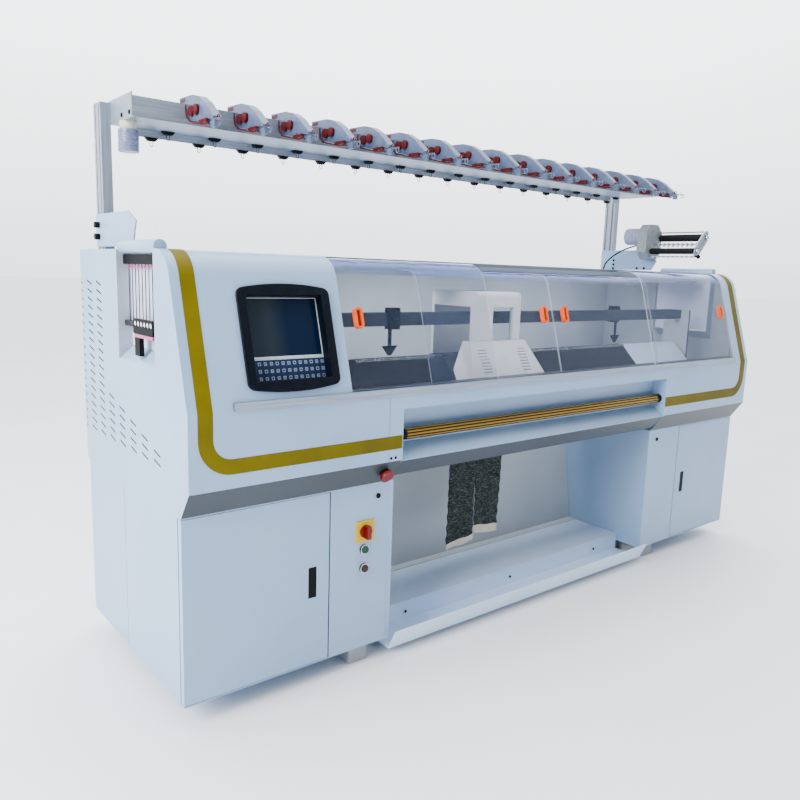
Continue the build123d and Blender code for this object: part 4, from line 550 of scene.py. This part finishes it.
mottle(tree, shader, 12 * mm, "#C2CEDC", "#D4DEE9", (0.25, 0.4))
orange_plastic, tree, shader = finish("orange_moulded_plastic", "#E4520A", 0.36)
mottle(tree, shader, 10 * mm, "#DA4A06", "#EC5E14", (0.3, 0.44))
# The floor of each grip's cup is a darker orange, as painted shade.
cup_orange_painted_shade, tree, shader = finish("orange_plastic_painted_shade", "#8E2A04", 0.45)
mottle(tree, shader, 10 * mm, "#842503", "#9A3208", (0.4, 0.52))
front_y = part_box("left_apron")[0].y
sill_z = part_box("left_apron")[1].z
for number in (1, 2, 3, 4):
    pane = dress(f"sliding_cover_{number}", acrylic, orange_plastic, acrylic_edge, cup_orange_painted_shade)
    skin = [
        ((sill_z - face.center.z) * math.tan(slope) + face.center.y - front_y) * -math.cos(slope)
        for face in pane.data.polygons
    ]
    outer_skin = max(
        s for s, face in zip(skin, pane.data.polygons)
        if face.normal.dot(screen_out) > 0.999 and face.area > 0.02
    )
    for s, face in zip(skin, pane.data.polygons):
        if s > outer_skin + 0.3 * mm and face.center.z < sill_z + 0.27:
            # Cup floors take the darker orange, as painted shade.
            shaded_cup_floor = s < outer_skin + 8 * mm and face.normal.dot(screen_out) > 0.9
            face.material_index = 3 if shaded_cup_floor else 1
        elif abs(face.normal.x) > 0.9:
            face.material_index = 2

# Machine bed and needle beds: cast wedge beams under ground steel beds milled for the needles.
# The casting is dark and rough; the beds are oiled steel, lined by their needle slots.
casting, tree, shader = finish("painted_casting", "#171A1F", 0.65, Specular_IOR_Level=0.15)
mottle(tree, shader, 8 * mm, "#12151A", "#1B2026", (0.55, 0.72), bump=0.3 * mm)
dress("machine_bed", casting)
needle_pitch = 6 * mm  # drawn coarser than the real 2 mm so that the slots show in the picture
bed_steel, tree, shader = finish("slotted_bed_steel", "#0C1015", 0.5, Specular_IOR_Level=0.15)
mottle(tree, shader, 14 * mm, "#06080B", "#161C25", (0.45, 0.58), stretch=(0.02, 1, 1))
coords = add(tree, "TexCoord").outputs["Object"]
slots = add(tree, "TexWave", {"Vector": coords, "Scale": 0.31 / needle_pitch}, bands_direction="X")
grooves = add(tree, "Bump", {"Height": slots.outputs["Fac"], "Distance": 0.8 * mm, "Strength": 0.5})
tree.links.new(grooves.outputs[0], shader.inputs["Normal"])
dress("needle_beds", bed_steel)
# The right ends take the tray's coat, painted lighter as painted light; the left ends take the bed steel.
bed_ends = dress("bed_ends", tray_coat_painted_light, bed_steel)
for face in bed_ends.data.polygons:
    if face.center.x < 0:
        face.material_index = 1

# Sinker combs: rows of small steel teeth along the upper edge of both beds.
bright_steel, tree, shader = finish("bright_steel", "#B9BEC4", 0.25, Metallic=1.0)
mottle(tree, shader, 6 * mm, "#A9AFB6", "#C8CCD1", (0.2, 0.32))
bed_low, bed_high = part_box("needle_beds")
bed_mid_y = (bed_low.y + bed_high.y) / 2
tooth_count = 220
work = bmesh.new()
for i in range(tooth_count):
    x = bed_low.x + (i + 0.5) * (bed_high.x - bed_low.x) / tooth_count
    for side in (-1, 1):
        y0, y1 = sorted((bed_mid_y + side * 8 * mm, bed_mid_y + side * 15 * mm))
        foot_z, tip_z = bed_high.z - 8 * mm, bed_high.z + 0.6 * mm
        slab(work, as_drawn, x - 1 * mm, x + 1 * mm, y0, y1, foot_z, tip_z)
piece("sinker_teeth", work, "machine", "bed_steel", bright_steel, smooth=False)

# Carriage: ground cam plates under a moulded white housing and a white bridge over the yarn rails.
# The mouldings are a cool white with a soft gloss.
white_plastic, tree, shader = finish("white_moulded_plastic", "#E3E8F0", 0.36, Coat_Weight=0.15)
mottle(tree, shader, 60 * mm, "#DDE3EC", "#EAEEF4", (0.3, 0.42), bump=0.05 * mm)
dress("carriage_cams", bed_steel)
dress("carriage_cover", white_plastic, bevel=5 * mm)
dress("carriage_bridge", white_plastic, bevel=3 * mm)

# Yarn rails: two drawn aluminium bars on end brackets.
# They are a blue-grey anodised metal with lengthwise lines.
rail_metal, tree, shader = finish("blue_grey_anodised", "#232B38", 0.42, Specular_IOR_Level=0.2)
mottle(tree, shader, 4 * mm, "#1C2430", "#2A3442", (0.32, 0.46), stretch=(0.02, 1, 1))
rails = dress("yarn_rails", rail_metal, primer)
for face in rails.data.polygons:
    if abs(face.normal.x) > 0.9:
        face.material_index = 1

# Yarn carriers: black moulded saddles with funnel feet, sliding on the rails.
for name in ("yarn_carrier_left", "yarn_carrier_right"):
    dress(name, black_plastic, bevel=1.5 * mm)

# Side feed hoods: white half-round covers over the yarn pockets.
dress("side_feed_hoods", powder_coat, bevel=2 * mm)

# Side feed combs and wires: black comb and bar with thin dark spring wires between them.
# The wires are blued, so that they stand out against the pale board behind them.
spring_wire, tree, shader = finish("blued_spring_wire", "#1E2126", 0.4, Specular_IOR_Level=0.2)
mottle(tree, shader, 8 * mm, "#191C20", "#24282E", (0.34, 0.46))
guides = dress("side_feed_guides", black_plastic, spring_wire)
guide_low, guide_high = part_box("side_feed_guides")
for face in guides.data.polygons:
    if face.center.z < guide_high.z - 25 * mm:
        face.material_index = 1


def ring(work, place, radius, thickness, turns=18, sides=8):
    """Adds a ring to a mesh, round the place's local Z."""
    loops = []
    for i in range(turns):
        angle = 2 * math.pi * i / turns
        loop = []
        for k in range(sides):
            tilt = 2 * math.pi * k / sides
            reach = radius + thickness * math.cos(tilt)
            spot = Vector((reach * math.cos(angle), reach * math.sin(angle), thickness * math.sin(tilt)))
            loop.append(work.verts.new(place @ spot))
        loops.append(loop)
    for i in range(turns):
        a, b = loops[i], loops[(i + 1) % turns]
        for k in range(sides):
            work.faces.new((a[k], b[k], b[(k + 1) % sides], a[(k + 1) % sides]))


# Ceramic eyes of the side feeds: a pink eye to each yarn, set in the comb's foot.
# Glazed ceramic, pale pink with a hard bright gloss.
ceramic, tree, shader = finish("pink_glazed_ceramic", "#B4507F", 0.25, Specular_IOR_Level=0.3)
mottle(tree, shader, 6 * mm, "#A64375", "#C25E90", (0.2, 0.32))
eye_count = 10
work = bmesh.new()
eye_pitch = (guide_high.y - guide_low.y) / (eye_count + 1)
for side in (-1, 1):
    for i in range(eye_count):
        spot = (side * (guide_high.x - 7 * mm), guide_low.y + (i + 1) * eye_pitch, guide_high.z - 31 * mm)
        ring(work, aimed(spot, (side, 0, 0)), 4 * mm, 1.6 * mm)
piece("feed_eyes", work, "machine", "white_plastic", ceramic)

# Pocket boards: a pale plastic board behind the wires of each side feed.
# It is a cool lavender white, evenly matt.
board_white, tree, shader = finish("lavender_white_board", "#C4CBE6", 0.6)
mottle(tree, shader, 80 * mm, "#BDC5E2", "#CCD2EA", (0.55, 0.66))
work = bmesh.new()
for side in (-1, 1):
    outer_x, inner_x = sorted((side * 1.2625, side * 1.2610))
    slab(work, as_drawn, outer_x, inner_x, -0.1935, 0.0650, 0.9300, 1.1680)
piece("pocket_boards", work, "machine", "white_plastic", board_white, smooth=False)

# Lower yarn tension of each side feed: a black block in front of the bar, on a leg down to the ledge.
work = bmesh.new()
for side in (-1, 1):
    outer_x, inner_x = sorted((side * 1.296, side * 1.284))
    slab(work, as_drawn, outer_x, inner_x, -0.172, -0.036, 0.972, 1.010)
    slab(work, as_drawn, outer_x, inner_x, -0.080, -0.046, 0.915, 0.9717)
piece("tension_blocks", work, "machine", "black_plastic", black_plastic, smooth=False)

# Tension beads: white glazed drops along each block, with a pink ceramic strip under them.
white_glaze, tree, shader = finish("white_glazed_ceramic", "#E9ECEF", 0.15, Coat_Weight=0.4)
mottle(tree, shader, 5 * mm, "#DFE3E8", "#F3F5F6", (0.1, 0.2))
drop = [
    (0.4 * mm, -8 * mm), (3 * mm, -6 * mm), (5 * mm, -1 * mm),
    (4 * mm, 4 * mm), (1.5 * mm, 9 * mm), (0.3 * mm, 10 * mm),
]
work = bmesh.new()
for side in (-1, 1):
    for i in range(6):
        spot = (side * 1.2935, -0.160 + i * 0.0215, 0.998)
        turned(work, aimed(spot, (0, 0.5, 1)), drop, 14)
piece("tension_beads", work, "machine", "white_plastic", white_glaze)
work = bmesh.new()
for side in (-1, 1):
    outer_x, inner_x = sorted((side * 1.2968, side * 1.2835))
    slab(work, as_drawn, outer_x, inner_x, -0.172, -0.0465, 0.963, 0.9715)
piece("tension_strips", work, "machine", "white_plastic", ceramic, smooth=False)

# Yarn stand: extruded posts and a channel beam with a front web, bolted behind the casing.
# Anodised aluminium, pale and matt with faint drawing lines.
anodised, tree, shader = finish("matt_anodised_aluminium", "#8C96A4", 0.42, Metallic=0.5)
mottle(tree, shader, 5 * mm, "#828D9C", "#97A1AE", (0.36, 0.5), stretch=(0.03, 1, 1))
post_metal, tree, shader = finish("anodised_posts", "#98A1AD", 0.42, Metallic=0.6)
mottle(tree, shader, 5 * mm, "#8D97A4", "#A4ACB7", (0.36, 0.5), stretch=(1, 1, 0.03))
dress("yarn_stand_posts", post_metal, bevel=0.8 * mm)
dress("yarn_beam", anodised)
beam_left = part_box("yarn_beam")[0].x
work = bmesh.new()
for y in (162 * mm, 223 * mm):
    spot = aimed((beam_left - 0.1 * mm, y, 1.557), (-1, 0, 0))
    turned(work, spot, [(max(1.3 * r, 0.1 * mm), h) for r, h in bolt_head[::-1]])
piece("beam_bolts", work, "machine", "black_plastic", black_plastic)

# Tensioners: white moulded housings hooked over the web, with fluted red discs.
# Their white is painted far darker and cooler than the carriage's, as painted shade, so the row shows against
# a white wall.
white_plastic_painted_shade, tree, shader = finish("white_housing_painted_shade", "#495772", 0.4)
mottle(tree, shader, 30 * mm, "#414E69", "#515F7B", (0.34, 0.46))
dress("tensioner_bodies", white_plastic_painted_shade, bevel=1.5 * mm)
tension_red, tree, shader = finish("dark_red_plastic", "#480508", 0.45, Specular_IOR_Level=0.2)
mottle(tree, shader, 9 * mm, "#3E0306", "#52070B", (0.4, 0.5))
dress("tensioner_discs", tension_red, bevel=1.2 * mm)


def tube(work, points, radius, sides=8):
    """Adds a round wire along points to a mesh."""
    points = [Vector(p) for p in points]
    loops = []
    for i, point in enumerate(points):
        along = (points[min(i + 1, len(points) - 1)] - points[max(i - 1, 0)]).normalized()
        across = last - last.dot(along) * along if loops else along.orthogonal()
        across.normalize()
        last = across
        up = along.cross(across)
        turns = [2 * math.pi * k / sides for k in range(sides)]
        rim_points = [point + radius * (math.cos(t) * across + math.sin(t) * up) for t in turns]
        loops.append([work.verts.new(spot) for spot in rim_points])
    for a, b in zip(loops, loops[1:]):
        for k in range(sides):
            work.faces.new((a[k], a[(k + 1) % sides], b[(k + 1) % sides], b[k]))
    work.faces.new(loops[0][::-1])
    work.faces.new(loops[-1])


# Tensioner levers: a red moulded crescent under each pair of discs, with its lever.
# A ring at the nose and a slot plate belong to the same set of mouldings.
body_low, body_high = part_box("tensioner_bodies")
unit_count = 16
unit_thick = 26 * mm
unit_pitch = (body_high.x - body_low.x - unit_thick) / (unit_count - 1)
unit_xs = [body_low.x + unit_thick / 2 + i * unit_pitch for i in range(unit_count)]
crescent = ((146, 1597), (144, 1580), (138, 1563), (119, 1549), (73, 1538), (29, 1529), (-8, 1526))
work = bmesh.new()
for x in unit_xs:
    side_x = x - unit_thick / 2
    tube(work, [(side_x - 8.5 * mm, y * mm, z * mm) for y, z in crescent], 2.6 * mm)
    lever = side_x - 11 * mm, side_x - 6 * mm, 4 * mm, 54 * mm, 1.533, 1.543
    slab(work, as_drawn, *lever)
    ring(work, aimed((x, body_low.y - 6 * mm, 1.545), (1, 0, 0)), 6.5 * mm, 1.8 * mm)
    slab(work, as_drawn, side_x - 0.9 * mm, side_x - 0.1 * mm, 168 * mm, 200 * mm, 1.609, 1.619)
piece("tensioner_levers", work, "machine", "red_plastic", tension_red)

# Take-up arms: spring steel wires beside the housings, each with a small white clip at its tip.
dress("tension_arms", bright_steel)
arm_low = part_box("tension_arms")[0]
work = bmesh.new()
for x in unit_xs:
    side_x = x - unit_thick / 2
    slab(work, as_drawn, side_x - 8 * mm, side_x - 0.8 * mm, -40 * mm, -20 * mm, 1.515, 1.5335)
    tip = (side_x - 2.3 * mm, arm_low.y + 6 * mm, arm_low.z - 6 * mm)
    ring(work, aimed(tip, (1, 0, 0)), 7 * mm, 1.4 * mm)
# The clips take the housings' white, painted dark as painted shade.
piece("arm_clips", work, "take_up_arms", "white_plastic", white_plastic_painted_shade, smooth=False)

# Yarn guides: black tapered blocks under the beam, each with a bent wire loop.
dress("yarn_guides", black_plastic)
yarn_low, yarn_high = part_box("yarn_guides")
loop_radius = 4.5 * mm
work = bmesh.new()
for row_y, lead, foot_z in (
    (yarn_low.y + 7 * mm, 15 * mm, yarn_high.z - 10 * mm),
    (yarn_high.y - 7 * mm, 60 * mm, yarn_low.z),
):
    for unit_x in unit_xs:
        x = unit_x - lead
        turn = [math.pi + k * math.pi / 8 for k in range(9)]
        low = foot_z - 11 * mm
        loop = [(x + loop_radius * math.cos(t), row_y, low + loop_radius * math.sin(t)) for t in turn]
        start = (x - loop_radius, row_y, foot_z + 2 * mm)
        end = (x + loop_radius, row_y, foot_z + 2 * mm)
        tube(work, [start, *loop, end], 1.1 * mm, 6)
piece("guide_loops", work, "machine", "stainless", rail_metal)

# Signal lamp: ivory base under the beam with a ribbed clear lens.
# The lens is a milky clear plastic whose ribs break up the light.
ivory, tree, shader = finish("ivory_moulded_plastic", "#BFB8A2", 0.42)
mottle(tree, shader, 12 * mm, "#B5AE98", "#C9C2AD", (0.36, 0.48))
dress("signal_lamp_base", ivory, bevel=1.5 * mm)
lens_plastic, tree, shader = finish("milky_lens_plastic", "#A5ADD0", 0.25, Transmission_Weight=0.3)
mottle(tree, shader, 15 * mm, "#6C7599", "#858DB0", (0.2, 0.32))
dress("signal_lamp_lens", lens_plastic, bevel=4 * mm)
lens_low, lens_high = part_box("signal_lamp_lens")
lens_mid = (lens_low + lens_high) / 2
work = bmesh.new()
rib_count = 7
for i in range(rib_count):
    z = lens_low.z + (i + 1) * (lens_high.z - lens_low.z) / (rib_count + 1)
    rib_place = Matrix.Translation((lens_mid.x, lens_mid.y, z))
    ring(work, rib_place, (lens_high.x - lens_low.x) / 2 - 0.8 * mm, 1.6 * mm, 40)
piece("lens_ribs", work, "machine", "lamp_lens", lens_plastic)

# Post brackets: bevelled plates, powder coated, the left one clamped by two black knobs.
brackets = dress("post_brackets", powder_coat, black_plastic, bevel=0.8 * mm)
post_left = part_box("yarn_stand_posts")[0].x
for face in brackets.data.polygons:
    if face.center.x < post_left - 4.5 * mm:
        face.material_index = 1

# Feeder drive: cast gearbox and motor on the right bracket, with a rod and link for the rollers.
# Sprayed a pale grey; the motor's shell is a mottled lavender grey.
cast_grey, tree, shader = finish("pale_grey_casting_paint", "#AEB6B8", 0.45)
mottle(tree, shader, 14 * mm, "#7E8688", "#929A9C", (0.38, 0.54), bump=0.2 * mm)
motor_grey, tree, shader = finish("mottled_motor_shell", "#A6AAB8", 0.5)
mottle(tree, shader, 9 * mm, "#6F7690", "#A9AEC2", (0.4, 0.6), bump=0.25 * mm)
drive = dress("feeder_drive", cast_grey, motor_grey, bevel=2 * mm)
drive_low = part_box("feeder_drive")[0]
for face in drive.data.polygons:
    if face.center.y > drive_low.y + 50.5 * mm:
        face.material_index = 1
# The feeder bars take the same steel, with its blue tint painted as reflection.
dress("feeder_guide_bars", stainless, bevel=0.8 * mm)
for name in ("feeder_roller_upper", "feeder_roller_lower"):
    dress(name, rubber)

# Feeder comb: a row of white ceramic eyes along the bar between the rollers.
bars_low, bars_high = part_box("feeder_guide_bars")
roller_mid_x = (bars_low.x + bars_high.x) / 2
eyes = 9
work = bmesh.new()
comb_z = (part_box("feeder_roller_upper")[0].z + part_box("feeder_roller_lower")[1].z) / 2
for i in range(eyes):
    y = bars_low.y + 25 * mm + i * (bars_high.y - bars_low.y - 50 * mm) / (eyes - 1)
    ring(work, aimed((roller_mid_x, y, comb_z), (0, 1, 0)), 8 * mm, 2.4 * mm)
    low_x = bars_low.x + 13 * mm
    tooth_foot, tooth_top = bars_low.z - 1 * mm, bars_low.z + 7 * mm
    slab(work, as_drawn, low_x - 6 * mm, low_x + 6 * mm, y, y + 9 * mm, tooth_foot, tooth_top)
piece("feeder_eyes", work, "machine", "white_plastic", pale_plastic)

# Feeder end fittings: bright bearing caps on the link over both axles.
upper_low, upper_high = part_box("feeder_roller_upper")
lower_low, lower_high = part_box("feeder_roller_lower")
cap = [
    (0.5 * mm, 0), (8 * mm, 0), (10 * mm, 2 * mm), (9 * mm, 6 * mm), (4 * mm, 9 * mm), (0.5 * mm, 9.5 * mm),
]
work = bmesh.new()
for low, high in ((upper_low, upper_high), (lower_low, lower_high)):
    middle = (low + high) / 2
    turned(work, aimed((middle.x, bars_low.y - 0.4 * mm, middle.z), (0, -1, 0)), cap, 20)
piece("feeder_caps", work, "machine", "stainless", bright_steel)

# Feeder bar knob: a black ball screwed on the front end of the lower bar.
ball_radius = 9 * mm
ball_turns = [k * math.pi / 10 for k in range(11)]
ball = [(ball_radius * math.sin(t) + 0.3 * mm, ball_radius - ball_radius * math.cos(t)) for t in ball_turns]
work = bmesh.new()
turned(work, aimed((bars_low.x + 13 * mm, bars_low.y - 0.3 * mm, bars_low.z + 3 * mm), (0, -1, 0)), ball, 20)
piece("feeder_knob", work, "machine", "black_plastic", black_plastic)

# Bracket bolts: black socket heads that hold the right bracket to the post and to the top of the casing.
bolt = [(0.5 * mm, 0), (5.5 * mm, 0), (5.5 * mm, 2.5 * mm), (4.5 * mm, 3.2 * mm), (0.5 * mm, 3.2 * mm)]
bolt_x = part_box("yarn_stand_posts")[1].x - 34.1 * mm
work = bmesh.new()
for y, z in ((0.300, 1.242), (0.300, 1.222), (0.300, 1.203), (0.165, 1.205), (0.125, 1.205)):
    turned(work, aimed((bolt_x, y, z), (-1, 0, 0)), bolt, 16)
piece("bracket_bolts", work, "machine", "black_plastic", black_plastic)

# Motor cable: black rubber flex from the gearbox down to the rear cover.
# Its jacket is a dull black.
cable_points = (
    (1.137, 0.1128, 1.31), (1.134, 0.17055, 1.29764), (1.1294, 0.2283, 1.26921),
    (1.125, 0.2633, 1.24326), (1.121, 0.2878, 1.21359), (1.117, 0.2843, 1.1864),
)
cable_diameter = 7 * mm
line = bpy.data.curves.new("motor_cable_flex", "CURVE")
line.dimensions = "3D"
line.bevel_depth = cable_diameter / 2
line.bevel_resolution = 4
line.use_fill_caps = True
route = line.splines.new("NURBS")
route.points.add(len(cable_points) - 1)
for point, place in zip(route.points, cable_points):
    point.co = (*place, 1.0)
route.order_u = 3
route.use_endpoint_u = True
route.resolution_u = 16
line.materials.append(rubber)
flex = bpy.data.objects.new("motor_cable_flex", line)
bpy.context.collection.objects.link(flex)
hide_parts("motor_cable")
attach(flex, "machine")

# Floor: a plain pale plane, no part of the machine.
floor_mesh = bpy.data.meshes.new("floor")
floor_mesh.from_pydata([(-60, -60, 0), (60, -60, 0), (60, 60, 0), (-60, 60, 0)], [], [(0, 1, 2, 3)])
floor = bpy.data.objects.new("floor", floor_mesh)
bpy.context.collection.objects.link(floor)
floor_paint, tree, shader = finish("pale_floor", "#F1F2F3", 0.6)
mottle(tree, shader, 900 * mm, "#EEEFF1", "#F4F5F6", (0.55, 0.65))
floor_mesh.materials.append(floor_paint)

# Studio light: a white room, brightest behind the machine, with a key lamp from the left, a weak one
# above and a strip inside the casing that shows the beds and the carriage.
world = bpy.data.worlds.new("studio")
world.use_nodes = True
tree = world.node_tree
background = tree.nodes["Background"]
sight = add(tree, "TexCoord").outputs["Generated"]
wall = add(tree, "VectorMath", {0: sight, 1: (0.5, 0.84, 0.2)}, operation="DOT_PRODUCT")
glow = add(tree, "MapRange", {0: wall.outputs["Value"], 1: -0.55, 2: 0.9, 3: 0.18, 4: 5.0})
height = add(tree, "SeparateXYZ", {0: sight})
cove = add(tree, "MapRange", {0: height.outputs["Z"], 1: 0.0, 2: 0.3, 3: 0.57, 4: 1.0})
level = add(tree, "Math", {0: glow.outputs[0], 1: cove.outputs[0]}, operation="MULTIPLY")
tree.links.new(level.outputs[0], background.inputs["Strength"])
background.inputs["Color"].default_value = linear("#F4F7FC")
bpy.context.scene.world = world


def soft_box(name, place, target, width, depth, power, colour):
    """Large flat lamp at a place, turned to a target."""
    lamp = bpy.data.lights.new(name, "AREA")
    lamp.shape = "RECTANGLE"
    lamp.size = width
    lamp.size_y = depth
    lamp.energy = power
    lamp.color = linear(colour)[:3]
    made = bpy.data.objects.new(name, lamp)
    made.matrix_world = aimed(place, Vector(place) - Vector(target))
    bpy.context.collection.objects.link(made)


soft_box("key", (-5.0, -0.8, 3.0), (0, 0, 0.8), 3.0, 3.0, 560, "#FFFFFF")
soft_box("top", (0.0, 0.2, 4.5), (0, 0, 1.0), 3.0, 3.0, 70, "#FFFFFF")
soft_box("inside", (0.0, 0.06, 1.14), (0, 0.14, 0.9), 2.2, 0.1, 10, "#FFFFFF")

# Camera: where the photograph was taken from, with its slight roll.
pitch, yaw, roll = math.radians(-9.68), math.radians(39.08), math.radians(1.80)
ahead = Vector((math.sin(yaw) * math.cos(pitch), math.cos(yaw) * math.cos(pitch), math.sin(pitch)))
right = ahead.cross(Vector((0, 0, 1))).normalized()
up = right.cross(ahead)
right, up = right * math.cos(roll) + up * math.sin(roll), up * math.cos(roll) - right * math.sin(roll)
lens = bpy.data.cameras.new("camera")
lens.sensor_width = 36
lens.lens = 33.47
camera = bpy.data.objects.new("camera", lens)
turn = Matrix((right, up, -ahead)).transposed()
camera.matrix_world = Matrix.Translation((-1.96981, -1.97134, 1.14624)) @ turn.to_4x4()
bpy.context.collection.objects.link(camera)
bpy.context.scene.camera = camera
